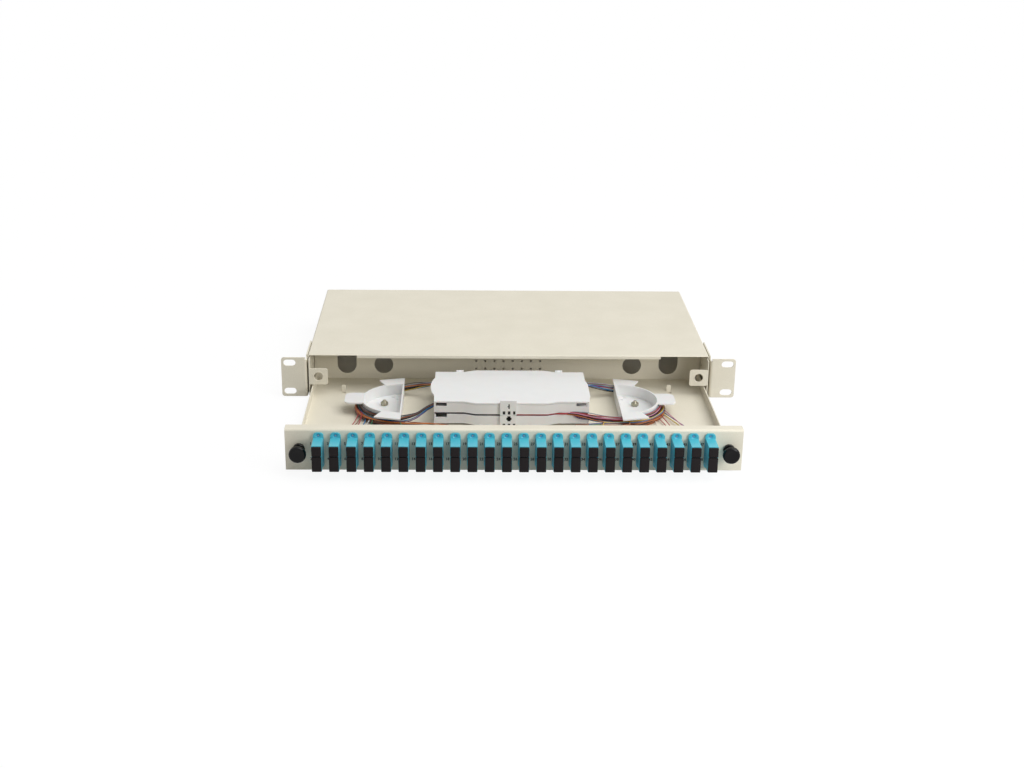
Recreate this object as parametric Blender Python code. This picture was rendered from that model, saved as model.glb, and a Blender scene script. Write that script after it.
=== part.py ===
# Sliding fibre patch panel for a 19 inch rack, one unit high, shown with its drawer pulled out.
# Frame: origin at the centre of the housing's underside, +X right, +Y to the rear, +Z up, in metres.

import math

import bmesh
import bpy

# Clearance between pieces that rest on each other or fit into each other
GAP = 0.0003

# Facets round small holes, screws, studs, rings and large holes
SMALL_HOLE_SIDES = 6
SCREW_SIDES = 8
STUD_SIDES = 12
RING_SIDES = 14
LARGE_HOLE_SIDES = 16
GUIDE_ARC_STEPS = 18

# The rack: the width over the ears and the distance between the screws, as the 19 inch standard has them
RACK_WIDTH = 0.4826
EAR_SLOT_INSET = 0.00875
EAR_SLOT_SPACING_X = RACK_WIDTH - 2 * EAR_SLOT_INSET
EAR_SLOT_SPACING_Z = 0.03175

# Housing: a folded base with side walls, and a wrap-round cover outside them
EAR_FACE_WIDTH = 0.0273
HOUSING_WIDTH = RACK_WIDTH - 2 * EAR_FACE_WIDTH
HOUSING_DEPTH = 0.2430
HOUSING_HEIGHT = 0.0436
HOUSING_SHEET = 0.0010
HOUSING_BEND = 0.0008
COVER_SETBACK = 0.0100
COVER_LIP_INSET = 0.0520
COVER_LIP_HALF_WIDTH = HOUSING_WIDTH / 2 - COVER_LIP_INSET
COVER_LIP_DROP = 0.0040

# Latch tabs that are bent inwards from the front of the side walls
LATCH_INSET = 0.0115
LATCH_X = HOUSING_WIDTH / 2 - LATCH_INSET
LATCH_Z = 0.0223
TAB_HALF_WIDTH = 0.0100
TAB_HEIGHT = 0.0182
TAB_CORNER = 0.0025
TAB_HOLE_RADIUS = 0.0045

# Rack ears
EAR_HEIGHT = HOUSING_HEIGHT
EAR_SHEET = 0.0015
EAR_BEND = 0.0010
EAR_CORNER = 0.0030
EAR_FLANGE_LENGTH = 0.0550
EAR_SLOT_LENGTH = 0.0130
EAR_SLOT_HEIGHT = 0.0070
EAR_SCREW_Y = (0.0200, 0.0430)
EAR_SCREW_Z = 0.0218

# Side screws, measured from the ears' front plane
COVER_SCREW_FROM_REAR = (0.1130, 0.0180)
COVER_SCREW_Y = tuple(HOUSING_DEPTH - away for away in COVER_SCREW_FROM_REAR)
COVER_SCREW_Z = 0.0218
SCREW_SHANK_RADIUS = 0.0015
SCREW_HEAD_RADIUS = 0.0033
SCREW_HEAD_HEIGHT = 0.0016

# Drawer: a folded tray with a separate rear wall, behind a folded front panel
DRAWER_SHORTER = 0.0010
DRAWER_DEPTH = HOUSING_DEPTH - DRAWER_SHORTER
DRAWER_KEPT_IN = 0.0510
DRAWER_OUT = DRAWER_DEPTH - DRAWER_KEPT_IN
DRAWER_SHEET = 0.0010
DRAWER_BEND = 0.0008
PANEL_STANDOFF = 0.0005
PANEL_OVERHANG = 0.0015
PANEL_WIDTH = HOUSING_WIDTH + 2 * PANEL_OVERHANG
PANEL_SHEET = 0.0012
PANEL_BEND = 0.0008
PANEL_LOW = 0.0008
PANEL_TOP_ROOM = 0.0013
PANEL_HIGH = HOUSING_HEIGHT - PANEL_TOP_ROOM
PANEL_LIP_DEPTH = 0.0110
TRAY_SIDE_ROOM = 0.0048
TRAY_HALF_WIDTH = HOUSING_WIDTH / 2 - TRAY_SIDE_ROOM
TRAY_FLANGE_TOP = 0.0120
TRAY_UPSTAND_TOP = 0.0075
TRAY_UPSTAND_INSET = 0.0052
TRAY_UPSTAND_HALF_WIDTH = TRAY_HALF_WIDTH - TRAY_UPSTAND_INSET
REAR_WALL_TOP_ROOM = 0.0036
REAR_WALL_TOP = HOUSING_HEIGHT - REAR_WALL_TOP_ROOM
REAR_WALL_SIDE_CLEARANCE = 0.0007

# Openings in the drawer's rear wall
CABLE_SLOT_INSET = 0.0332
CABLE_SPACING = 0.0400
CABLE_SLOT_X = TRAY_HALF_WIDTH - CABLE_SLOT_INSET
CABLE_HOLE_X = CABLE_SLOT_X - CABLE_SPACING
CABLE_HOLE_RADIUS = 0.01035
CABLE_HOLE_Z = 0.0182
VENT_COLUMNS = 8
VENT_ROWS = 3
VENT_PITCH = 0.0100
VENT_ROW_PITCH = 0.0090
VENT_LOW_Z = 0.0137
VENT_RADIUS = 0.0015

# Lanced tabs that stand on the tray floor: (distance from the tray's side, distance from its rear)
LANCE_LEFT = (0.0325, 0.0415)
LANCE_RIGHT = (0.0365, 0.0380)
LANCE_WIDTH = 0.0046
LANCE_HEIGHT = 0.0070

# Duplex adapters
PORT_PAIRS = 24
PORT_MARGIN = 0.0185
PORT_PITCH = 2 * (LATCH_X - PORT_MARGIN) / (PORT_PAIRS - 1)
ADAPTER_WIDTH = 0.0093
ADAPTER_HEIGHT = 0.0255
ADAPTER_FRONT = 0.0200
ADAPTER_REAR = 0.0110
FLANGE_HEIGHT = 0.0352
FLANGE_THICKNESS = 0.0018
FLANGE_CORNER = 0.0024
FLANGE_HOLE_RADIUS = 0.0011
FLANGE_HOLE_OFFSET = 0.0150
PORT_SPACING = 0.0127
CAP_WIDTH = 0.0089
CAP_HEIGHT = 0.0118
CAP_THICKNESS = 0.0022
PLUG_WIDTH = 0.0074
PLUG_HEIGHT = 0.0090
PLUG_LENGTH = 0.0120
BOOT_LENGTH = 0.0130
BOOT_ROOT_RADIUS = 0.0022
BOOT_TIP_RADIUS = 0.0012

# Push-pull latches
GROMMET_HOLE_RADIUS = 0.0048
GROMMET_COLLAR_RADIUS = 0.0058
GROMMET_COLLAR_LENGTH = 0.0030
GROMMET_SLEEVE_RADIUS = 0.0042
GROMMET_SLEEVE_LENGTH = 0.0100
GROMMET_SLIT = 0.0012
GROMMET_CHAMFER = 0.0006
GROMMET_LEAD = 0.0015
GROMMET_TAPER = 0.0009
PLUNGER_RADIUS = 0.0023
PLUNGER_TRAVEL = 0.0060
PLUNGER_HEAD_RADIUS = 0.00815
PLUNGER_HEAD_LENGTH = 0.0072
PLUNGER_NECK_RADIUS = 0.0050
PLUNGER_NECK_LENGTH = 0.0018
PLUNGER_POINT = 0.0008
PLUNGER_CROWN = 0.0002
PLUNGER_EDGE = 0.0012

# Half-moon fibre guides, measured from the panel's rear face
GUIDE_CHORD_X = 0.1115
GUIDE_FROM_REAR = 0.0955
GUIDE_CENTRE_Y = DRAWER_DEPTH - GUIDE_FROM_REAR
GUIDE_RADIUS = 0.0423
GUIDE_WALL = 0.0015
GUIDE_FLOOR = 0.0014
GUIDE_TOP = 0.0160
GUIDE_PLATE = 0.0015
GUIDE_CHORD_HALF = 0.0585
GUIDE_WING_TIP = (0.0269, 0.0518)
GUIDE_NOTCH = (0.0202, 0.0371)
GUIDE_TAB_REACH = 0.0595
GUIDE_TAB_END_X = GUIDE_CHORD_X + GUIDE_TAB_REACH
GUIDE_TAB_HALF_WIDTH = 0.0143
GUIDE_TAB_CORNER = 0.0060
GUIDE_STUD_OFFSET = (0.0195, 0.0100)
GUIDE_STUD = (GUIDE_CHORD_X + GUIDE_STUD_OFFSET[0], GUIDE_CENTRE_Y + GUIDE_STUD_OFFSET[1])
GUIDE_STUD_TOP = 0.0095
GUIDE_SLOT_OFFSETS = ((0.0065, 0.0270), (0.0113, 0.0325))
GUIDE_SLOT_LENGTH = 0.0042
GUIDE_SLOT_WIDTH = 0.0014

# Studs and nuts
STUD_RADIUS = 0.0020
NUT_ACROSS_FLATS = 0.0070
NUT_HEIGHT = 0.0032

# Splice trays: two alike, stacked, with a hinged lid on the upper one
SPLICE_BEHIND_GUIDES = 0.0023
SPLICE_CENTRE_Y = GUIDE_CENTRE_Y + SPLICE_BEHIND_GUIDES
SPLICE_HALF_DEPTH = 0.0427
SPLICE_SIDE_ROOM = 0.0330
SPLICE_HALF_WIDTH = GUIDE_CHORD_X - SPLICE_SIDE_ROOM
SPLICE_BULGE_HALF_WIDTH = 0.0365
SPLICE_BULGE_STEP_X = 0.0480
SPLICE_BULGE = 0.0048
SPLICE_WALL = 0.0015
SPLICE_FLOOR = 0.0014
SPLICE_HEIGHT = 0.0100
SPLICE_FOOT = 0.0017
SPLICE_FOOT_RADIUS = 0.0030
SPLICE_LID = 0.0016
SPLICE_WINDOW_INSETS = (0.0130, 0.0020)
SPLICE_WINDOW_DEPTH = 0.0034
SPLICE_ENTRY_WIDTH = 0.0100
SPLICE_ENTRY_DROP = 0.0084
SPLICE_ENTRY_INSET = 0.0127
SPLICE_ENTRY_Y = SPLICE_HALF_DEPTH - SPLICE_ENTRY_INSET
SPLICE_BOSS_RADIUS = 0.0200
SPLICE_BOSS_X = 0.0460
SPLICE_COMB_RIBS = 5
SPLICE_COMB_PITCH = 0.0064
SPLICE_COMB_START = 0.0070
SPLICE_RIB_HALF = 0.0005
LID_SIDE_BULGE = 0.0042
CLIP_X = -0.0036
CLIP_WIDTH = 0.0166
CLIP_THICKNESS = 0.0016
HINGE_X = 0.0525
HINGE_BEHIND = 0.0024
KNUCKLE_WIDTH = 0.0040
KNUCKLE_RADIUS = 0.0019
HINGE_PIN_RADIUS = 0.0008
HINGE_LUG_WIDTH = 0.0015
HINGE_RELIEF = 0.0025

# Fibre bundles, and how far their bends lie from the tray and the guide that they pass
BUNDLE_RADIUS = 0.0030
BUNDLE_STEP = 0.0135
LOOP_LEAD = 0.0120
LOOP_REAR_RISE = 0.0080
LOOP_FRONT_DROP = 0.0100
TRUNK_GAP = 0.0003
TRUNK_START_ANGLE = 8
TRUNK_RUN = ((0.0235, 0.0005), (0.0515, 0.0060), (0.0815, 0.0125), (0.0975, 0.0145))
CROSSING_RADIUS = 0.0007
CROSSING_STEP = 0.0120
CROSSING_INSET = 0.0010
CROSSING_END_Y = 0.0018
CROSSING_MIDDLE_Y = -0.0012
CROSSING_MIDDLE_X = 0.0300

# Values that follow from the sizes above
EAR_FRONT_Y = -HOUSING_DEPTH / 2
HOUSING_REAR_Y = HOUSING_DEPTH / 2
SIDE_OUTER_X = HOUSING_WIDTH / 2
SIDE_WALL_OUTER_X = SIDE_OUTER_X - HOUSING_SHEET - GAP
SIDE_WALL_INNER_X = SIDE_WALL_OUTER_X - HOUSING_SHEET
SIDE_WALL_TOP = PANEL_HIGH - PANEL_SHEET - GAP
EAR_INNER_X = SIDE_OUTER_X + GAP
DRAWER_FRAME_Y = EAR_FRONT_Y - PANEL_STANDOFF - DRAWER_OUT
TRAY_UNDERSIDE = HOUSING_SHEET + GAP
TRAY_FLOOR_TOP = TRAY_UNDERSIDE + DRAWER_SHEET
REAR_WALL_HALF_WIDTH = SIDE_WALL_INNER_X - REAR_WALL_SIDE_CLEARANCE
PANEL_CENTRE_Z = (PANEL_LOW + PANEL_HIGH) / 2
PANEL_FACE_Y = -PANEL_SHEET
SPLICE_LOWER_Z = TRAY_FLOOR_TOP + GAP + SPLICE_FOOT
SPLICE_PITCH = SPLICE_HEIGHT + GAP + SPLICE_FOOT
SPLICE_UPPER_Z = SPLICE_LOWER_Z + SPLICE_PITCH
SPLICE_LID_Z = SPLICE_UPPER_Z + SPLICE_HEIGHT + GAP
HINGE_Y = SPLICE_CENTRE_Y + SPLICE_HALF_DEPTH + HINGE_BEHIND
HINGE_Z = SPLICE_LID_Z + SPLICE_LID / 2
SIDES = {"left": -1, "right": 1}


def clear_scene():
    for item in list(bpy.data.objects):
        bpy.data.objects.remove(item, do_unlink=True)


def make_finish(name, colour, roughness, metallic=0.0):
    finish = bpy.data.materials.new(name)
    finish.use_nodes = True
    shader = finish.node_tree.nodes["Principled BSDF"]
    shader.inputs["Base Color"].default_value = (*colour, 1.0)
    shader.inputs["Roughness"].default_value = roughness
    shader.inputs["Metallic"].default_value = metallic
    return finish


def rectangle(low_a, high_a, low_b, high_b):
    return [(low_a, low_b), (high_a, low_b), (high_a, high_b), (low_a, high_b)]


def arc(centre, radius, start, end, steps):
    points = []
    for step in range(steps + 1):
        angle = math.radians(start + (end - start) * step / steps)
        points.append((centre[0] + radius * math.cos(angle), centre[1] + radius * math.sin(angle)))
    return points


def circle(centre, radius, steps=16):
    return arc(centre, radius, 0, 360 - 360 / steps, steps - 1)


def rounded_rectangle(low_a, high_a, low_b, high_b, radius, steps=3):
    corners = (
        ((high_a - radius, low_b + radius), -90),
        ((high_a - radius, high_b - radius), 0),
        ((low_a + radius, high_b - radius), 90),
        ((low_a + radius, low_b + radius), 180),
    )
    points = []
    for centre, start in corners:
        points += arc(centre, radius, start, start + 90, steps)
    return points


def round_slot(centre, length, width, steps=6):
    reach = length / 2 - width / 2
    right = arc((centre[0] + reach, centre[1]), width / 2, -90, 90, steps)
    left = arc((centre[0] - reach, centre[1]), width / 2, 90, 270, steps)
    return right + left


def folded_profile(corners, sheet, bend, steps=3):
    # Outer corners of a folded sheet, all bends to the left; the sheet lies to the left of the line
    outer = []
    inner = []
    reach = bend + sheet
    for index, corner in enumerate(corners):
        before = corners[max(index - 1, 0)]
        after = corners[min(index + 1, len(corners) - 1)]
        if index in (0, len(corners) - 1):
            along = (after[0] - before[0], after[1] - before[1])
            size = math.hypot(*along)
            left = (-along[1] / size, along[0] / size)
            outer.append(corner)
            inner.append((corner[0] + left[0] * sheet, corner[1] + left[1] * sheet))
            continue
        heading = math.atan2(corner[1] - before[1], corner[0] - before[0])
        forward = (math.cos(heading), math.sin(heading))
        left = (-forward[1], forward[0])
        centre = tuple(corner[k] - forward[k] * reach + left[k] * reach for k in range(2))
        start = math.degrees(heading) - 90
        outer += arc(centre, reach, start, start + 90, steps)
        inner += arc(centre, bend, start, start + 90, steps)
    return outer + inner[::-1]


def mirrored(outline, side):
    return [(side * a, b) for a, b in outline]


def place(point, axis, along):
    a, b = point
    if axis == "X":
        return (along, a, b)
    if axis == "Y":
        return (a, along, b)
    return (a, b, along)


def finish_mesh(name, bm):
    bmesh.ops.recalc_face_normals(bm, faces=bm.faces)
    mesh = bpy.data.meshes.new(name)
    bm.to_mesh(mesh)
    bm.free()
    return mesh


def prisms(*shapes):
    # Each shape is (outline, axis, low, high): a flat outline extruded along one axis
    bm = bmesh.new()
    for outline, axis, low, high in shapes:
        base = [bm.verts.new(place(point, axis, low)) for point in outline]
        face = bm.faces.new(base)
        extruded = bmesh.ops.extrude_face_region(bm, geom=[face])
        top = [part for part in extruded["geom"] if isinstance(part, bmesh.types.BMVert)]
        shift = place((0, 0), axis, high - low)
        bmesh.ops.translate(bm, verts=top, vec=shift)
    return finish_mesh("prisms", bm)


def turned(profile, axis, centre, steps=20):
    # A closed or axis-to-axis line of (radius, distance along the axis), spun about the axis
    bm = bmesh.new()
    turn_axis = {"X": (1, 0, 0), "Y": (0, 1, 0), "Z": (0, 0, 1)}[axis]
    verts = []
    for radius, along in profile:
        offset = {"X": (along, radius, 0), "Y": (radius, along, 0), "Z": (radius, 0, along)}[axis]
        verts.append(bm.verts.new([centre[k] + offset[k] for k in range(3)]))
    edges = [bm.edges.new(pair) for pair in zip(verts, verts[1:])]
    on_axis = profile[0][0] == 0 and profile[-1][0] == 0
    if not on_axis:
        edges.append(bm.edges.new((verts[-1], verts[0])))
    bmesh.ops.spin(bm, geom=verts + edges, cent=centre, axis=turn_axis,
                   angle=2 * math.pi, steps=steps, use_merge=True)
    bmesh.ops.remove_doubles(bm, verts=bm.verts, dist=1e-6)
    return finish_mesh("turned", bm)


def shell(outline, low, high, wall, floor):
    # An open-topped box: the outline extruded, its top inset by the wall and pressed down to the floor
    bm = bmesh.new()
    base = [bm.verts.new((x, y, low)) for x, y in outline]
    face = bm.faces.new(base)
    extruded = bmesh.ops.extrude_face_region(bm, geom=[face])
    top_verts = [part for part in extruded["geom"] if isinstance(part, bmesh.types.BMVert)]
    top = next(part for part in extruded["geom"] if isinstance(part, bmesh.types.BMFace))
    bmesh.ops.translate(bm, verts=top_verts, vec=(0, 0, high - low))
    bmesh.ops.recalc_face_normals(bm, faces=bm.faces)
    bmesh.ops.inset_region(bm, faces=[top], thickness=wall, use_even_offset=True)
    pressed = bmesh.ops.extrude_face_region(bm, geom=[top])
    bottom = [part for part in pressed["geom"] if isinstance(part, bmesh.types.BMVert)]
    if top.is_valid:
        bmesh.ops.delete(bm, geom=[top], context="FACES_ONLY")
    bmesh.ops.translate(bm, verts=bottom, vec=(0, 0, low + floor - high))
    return finish_mesh("shell", bm)


def add_object(name, mesh, finish, parent, location=(0, 0, 0)):
    if not mesh.materials:
        mesh.materials.append(finish)
    item = bpy.data.objects.new(name, mesh)
    bpy.context.scene.collection.objects.link(item)
    item.parent = parent
    item.location = location
    return item


def add_empty(name, location, parent=None):
    item = bpy.data.objects.new(name, None)
    bpy.context.scene.collection.objects.link(item)
    item.location = location
    item.parent = parent
    return item


def combine(item, mesh, operation):
    number = len(item.modifiers) + 1
    tool = bpy.data.objects.new(f"{item.name}_tool_{number}", mesh)
    bpy.context.scene.collection.objects.link(tool)
    tool.parent = item
    tool.hide_render = True
    tool.display_type = "WIRE"
    step = item.modifiers.new(f"{operation.lower()}_{number}", "BOOLEAN")
    step.operation = operation
    step.solver = "EXACT"
    step.object = tool


def fuse(item, *meshes):
    for mesh in meshes:
        combine(item, mesh, "UNION")


def cut(item, *meshes):
    for mesh in meshes:
        combine(item, mesh, "DIFFERENCE")


def smooth(mesh, angle=40):
    mesh.shade_smooth()
    mesh.set_sharp_from_angle(angle=math.radians(angle))


def side_screw_holes(radius, low_x, high_x, places):
    shapes = []
    for side in SIDES.values():
        for y, z in places:
            span = sorted((side * low_x, side * high_x))
            shapes.append((circle((y, z), radius, SCREW_SIDES), "X", *span))
    return prisms(*shapes)


def side_screw_places():
    ear = [(EAR_FRONT_Y + y, EAR_SCREW_Z) for y in EAR_SCREW_Y]
    cover = [(EAR_FRONT_Y + y, COVER_SCREW_Z) for y in COVER_SCREW_Y]
    return ear, cover


def make_housing(paint, steel, root):
    ear_places, cover_places = side_screw_places()
    hole_radius = SCREW_SHANK_RADIUS + GAP

    wall_line = [
        (-SIDE_WALL_OUTER_X, SIDE_WALL_TOP),
        (-SIDE_WALL_OUTER_X, 0),
        (SIDE_WALL_OUTER_X, 0),
        (SIDE_WALL_OUTER_X, SIDE_WALL_TOP),
    ]
    base_profile = folded_profile(wall_line, HOUSING_SHEET, HOUSING_BEND)
    base = add_object("housing_base", prisms((base_profile, "Y", EAR_FRONT_Y, HOUSING_REAR_Y)), paint, root)
    tabs = []
    tab_holes = []
    for side in SIDES.values():
        plate = rounded_rectangle(LATCH_X - TAB_HALF_WIDTH, SIDE_WALL_OUTER_X - HOUSING_SHEET / 4,
                                  LATCH_Z - TAB_HEIGHT / 2, LATCH_Z + TAB_HEIGHT / 2, TAB_CORNER)
        tabs.append((mirrored(plate, side), "Y", EAR_FRONT_Y, EAR_FRONT_Y + HOUSING_SHEET))
        hole = circle((side * LATCH_X, LATCH_Z), TAB_HOLE_RADIUS, RING_SIDES)
        tab_holes.append((hole, "Y", EAR_FRONT_Y - HOUSING_SHEET, EAR_FRONT_Y + 2 * HOUSING_SHEET))
    fuse(base, prisms(*tabs))
    cut(base, prisms(*tab_holes))
    cut(base, side_screw_holes(hole_radius, SIDE_WALL_INNER_X - HOUSING_SHEET,
                               SIDE_WALL_OUTER_X + HOUSING_SHEET / 2, ear_places + cover_places))

    cover_line = [
        (SIDE_OUTER_X, 0),
        (SIDE_OUTER_X, HOUSING_HEIGHT),
        (-SIDE_OUTER_X, HOUSING_HEIGHT),
        (-SIDE_OUTER_X, 0),
    ]
    cover_front = EAR_FRONT_Y + COVER_SETBACK
    cover_profile = folded_profile(cover_line, HOUSING_SHEET, HOUSING_BEND)
    cover_mesh = prisms((cover_profile, "Y", cover_front, HOUSING_REAR_Y))
    cover = add_object("housing_cover", cover_mesh, paint, root)
    lip = rectangle(-COVER_LIP_HALF_WIDTH, COVER_LIP_HALF_WIDTH,
                    HOUSING_HEIGHT - COVER_LIP_DROP, HOUSING_HEIGHT - HOUSING_SHEET / 2)
    fuse(cover, prisms((lip, "Y", cover_front, cover_front + HOUSING_SHEET)))
    cut(cover, side_screw_holes(hole_radius, SIDE_OUTER_X - 1.5 * HOUSING_SHEET,
                                SIDE_OUTER_X + HOUSING_SHEET, ear_places + cover_places))

    for name, side in SIDES.items():
        make_ear(f"rack_ear_{name}", side, paint, root, ear_places, hole_radius)
        for number, (y, z) in enumerate(ear_places, 1):
            make_side_screw(f"ear_screw_{name}_{number}", side, EAR_INNER_X + EAR_SHEET, y, z, steel, root)
        for number, (y, z) in enumerate(cover_places, 1):
            make_side_screw(f"cover_screw_{name}_{number}", side, SIDE_OUTER_X, y, z, steel, root)


def make_ear(name, side, paint, root, screw_places, hole_radius):
    outer_x = RACK_WIDTH / 2
    line = [
        (EAR_INNER_X, EAR_FRONT_Y + EAR_FLANGE_LENGTH),
        (EAR_INNER_X, EAR_FRONT_Y),
        (outer_x, EAR_FRONT_Y),
    ]
    profile = mirrored(folded_profile(line, EAR_SHEET, EAR_BEND), side)
    ear = add_object(name, prisms((profile, "Z", 0, EAR_HEIGHT)), paint, root)
    rim = arc((outer_x - EAR_CORNER, EAR_CORNER), EAR_CORNER, -90, 0, 4)
    rim += arc((outer_x - EAR_CORNER, EAR_HEIGHT - EAR_CORNER), EAR_CORNER, 0, 90, 4)
    rim += [(EAR_INNER_X - EAR_SHEET, EAR_HEIGHT), (EAR_INNER_X - EAR_SHEET, 0)]
    face = prisms((mirrored(rim, side), "Y", EAR_FRONT_Y - EAR_SHEET,
                   EAR_FRONT_Y + EAR_FLANGE_LENGTH + EAR_SHEET))
    combine(ear, face, "INTERSECT")
    slots = []
    for up in (-1, 1):
        centre = (side * EAR_SLOT_SPACING_X / 2, EAR_HEIGHT / 2 + up * EAR_SLOT_SPACING_Z / 2)
        slots.append((round_slot(centre, EAR_SLOT_LENGTH, EAR_SLOT_HEIGHT), "Y",
                      EAR_FRONT_Y - EAR_SHEET, EAR_FRONT_Y + 2 * EAR_SHEET))
    cut(ear, prisms(*slots))
    # The panel's top lip passes through this relief when the drawer is shut
    relief = rectangle(EAR_INNER_X - EAR_SHEET, PANEL_WIDTH / 2 + 2 * GAP,
                       SIDE_WALL_TOP, EAR_HEIGHT + EAR_SHEET)
    relief_rear = EAR_FRONT_Y - PANEL_STANDOFF - PANEL_SHEET + PANEL_LIP_DEPTH + 2 * GAP
    cut(ear, prisms((mirrored(relief, side), "Y", EAR_FRONT_Y - EAR_SHEET, relief_rear)))
    holes = []
    for y, z in screw_places:
        span = sorted((side * (EAR_INNER_X - EAR_SHEET), side * (EAR_INNER_X + 2 * EAR_SHEET)))
        holes.append((circle((y, z), hole_radius, SCREW_SIDES), "X", *span))
    cut(ear, prisms(*holes))


def make_side_screw(name, side, seat_x, y, z, steel, root):
    head_base = seat_x + GAP
    shank_end = SIDE_WALL_INNER_X + GAP
    profile = [
        (0, shank_end),
        (SCREW_SHANK_RADIUS, shank_end),
        (SCREW_SHANK_RADIUS, head_base),
        (SCREW_HEAD_RADIUS, head_base),
        (SCREW_HEAD_RADIUS, head_base + SCREW_HEAD_HEIGHT * 0.5),
        (SCREW_HEAD_RADIUS * 0.7, head_base + SCREW_HEAD_HEIGHT),
        (0, head_base + SCREW_HEAD_HEIGHT),
    ]
    mesh = turned([(radius, side * along) for radius, along in profile], "X", (0, 0, 0), SCREW_SIDES)
    smooth(mesh)
    add_object(name, mesh, steel, root, (0, y, z))


def port_centres():
    first = -PORT_PITCH * (PORT_PAIRS - 1) / 2
    return [first + PORT_PITCH * number for number in range(PORT_PAIRS)]


def make_front_panel(paint, drawer):
    lip_rear = PANEL_FACE_Y + PANEL_LIP_DEPTH
    line = [(lip_rear, PANEL_HIGH), (PANEL_FACE_Y, PANEL_HIGH), (PANEL_FACE_Y, PANEL_LOW)]
    profile = folded_profile(line, PANEL_SHEET, PANEL_BEND)
    panel_mesh = prisms((profile, "X", -PANEL_WIDTH / 2, PANEL_WIDTH / 2))
    panel = add_object("front_panel", panel_mesh, paint, drawer)
    front = PANEL_FACE_Y - PANEL_SHEET
    rear = PANEL_SHEET
    openings = []
    half_width = ADAPTER_WIDTH / 2 + GAP
    half_height = ADAPTER_HEIGHT / 2 + GAP
    for x in port_centres():
        window = rectangle(x - half_width, x + half_width,
                           PANEL_CENTRE_Z - half_height, PANEL_CENTRE_Z + half_height)
        openings.append((window, "Y", front, rear))
    for side in SIDES.values():
        hole = circle((side * LATCH_X, LATCH_Z), GROMMET_HOLE_RADIUS, RING_SIDES)
        openings.append((hole, "Y", front, rear))
    cut(panel, prisms(*openings))


def make_drawer_tray(paint, steel, drawer):
    floor_front = GAP
    floor_rear = DRAWER_DEPTH - DRAWER_SHEET - GAP
    overlap = DRAWER_SHEET / 4
    line = [
        (-TRAY_HALF_WIDTH, TRAY_FLANGE_TOP),
        (-TRAY_HALF_WIDTH, TRAY_UNDERSIDE),
        (TRAY_HALF_WIDTH, TRAY_UNDERSIDE),
        (TRAY_HALF_WIDTH, TRAY_FLANGE_TOP),
    ]
    profile = folded_profile(line, DRAWER_SHEET, DRAWER_BEND)
    tray_mesh = prisms((profile, "Y", floor_front, floor_rear))
    tray = add_object("drawer_tray", tray_mesh, paint, drawer)
    upstand = rectangle(-TRAY_UPSTAND_HALF_WIDTH, TRAY_UPSTAND_HALF_WIDTH,
                        TRAY_UNDERSIDE + overlap, TRAY_UPSTAND_TOP)
    fuse(tray, prisms((upstand, "Y", floor_front, floor_front + DRAWER_SHEET)))

    lances = []
    lance_cuts = []
    lance_places = [(-TRAY_HALF_WIDTH + LANCE_LEFT[0], DRAWER_DEPTH - LANCE_LEFT[1]),
                    (TRAY_HALF_WIDTH - LANCE_RIGHT[0], DRAWER_DEPTH - LANCE_RIGHT[1])]
    for x, y in lance_places:
        left = x - LANCE_WIDTH / 2
        right = x + LANCE_WIDTH / 2
        tab = rounded_rectangle(left, right, TRAY_UNDERSIDE + overlap, TRAY_FLOOR_TOP + LANCE_HEIGHT,
                                LANCE_WIDTH / 4)
        lances.append((tab, "Y", y, y + DRAWER_SHEET))
        lance_cuts.append((rectangle(left, right, y - LANCE_HEIGHT, y - GAP), "Z",
                           TRAY_UNDERSIDE - DRAWER_SHEET, TRAY_FLOOR_TOP + DRAWER_SHEET))
    fuse(tray, prisms(*lances))
    cut(tray, prisms(*lance_cuts))

    make_stud("splice_stud", (0, SPLICE_CENTRE_Y), SPLICE_UPPER_Z + SPLICE_FLOOR + 2 * GAP + NUT_HEIGHT,
              steel, drawer)
    for name, side in SIDES.items():
        make_stud(f"guide_stud_{name}", (side * GUIDE_STUD[0], GUIDE_STUD[1]), GUIDE_STUD_TOP, steel, drawer)


def make_stud(name, centre, top, steel, drawer):
    shank = circle((0, 0), STUD_RADIUS, STUD_SIDES)
    low = TRAY_FLOOR_TOP + GAP
    add_object(name, prisms((shank, "Z", low, top)), steel, drawer, (*centre, 0))


def make_drawer_rear_wall(paint, drawer):
    wall = [(-REAR_WALL_HALF_WIDTH, TRAY_UNDERSIDE), (REAR_WALL_HALF_WIDTH, TRAY_UNDERSIDE)]
    wall += [(REAR_WALL_HALF_WIDTH, REAR_WALL_TOP)]
    for centre in (CABLE_SLOT_X, -CABLE_SLOT_X):
        wall.append((centre + CABLE_HOLE_RADIUS, REAR_WALL_TOP))
        wall += arc((centre, CABLE_HOLE_Z), CABLE_HOLE_RADIUS, 0, -180, 10)
        wall.append((centre - CABLE_HOLE_RADIUS, REAR_WALL_TOP))
    wall.append((-REAR_WALL_HALF_WIDTH, REAR_WALL_TOP))
    plate = add_object("drawer_rear_wall", prisms((wall, "Y", DRAWER_DEPTH - DRAWER_SHEET, DRAWER_DEPTH)),
                       paint, drawer)
    cut_front = DRAWER_DEPTH - 2 * DRAWER_SHEET
    cut_rear = DRAWER_DEPTH + DRAWER_SHEET
    holes = []
    for side in SIDES.values():
        hole = circle((side * CABLE_HOLE_X, CABLE_HOLE_Z), CABLE_HOLE_RADIUS, LARGE_HOLE_SIDES)
        holes.append((hole, "Y", cut_front, cut_rear))
    for column in range(VENT_COLUMNS):
        x = (column - (VENT_COLUMNS - 1) / 2) * VENT_PITCH
        for row in range(VENT_ROWS):
            vent = circle((x, VENT_LOW_Z + row * VENT_ROW_PITCH), VENT_RADIUS, SMALL_HOLE_SIDES)
            holes.append((vent, "Y", cut_front, cut_rear))
    cut(plate, prisms(*holes))


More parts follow.
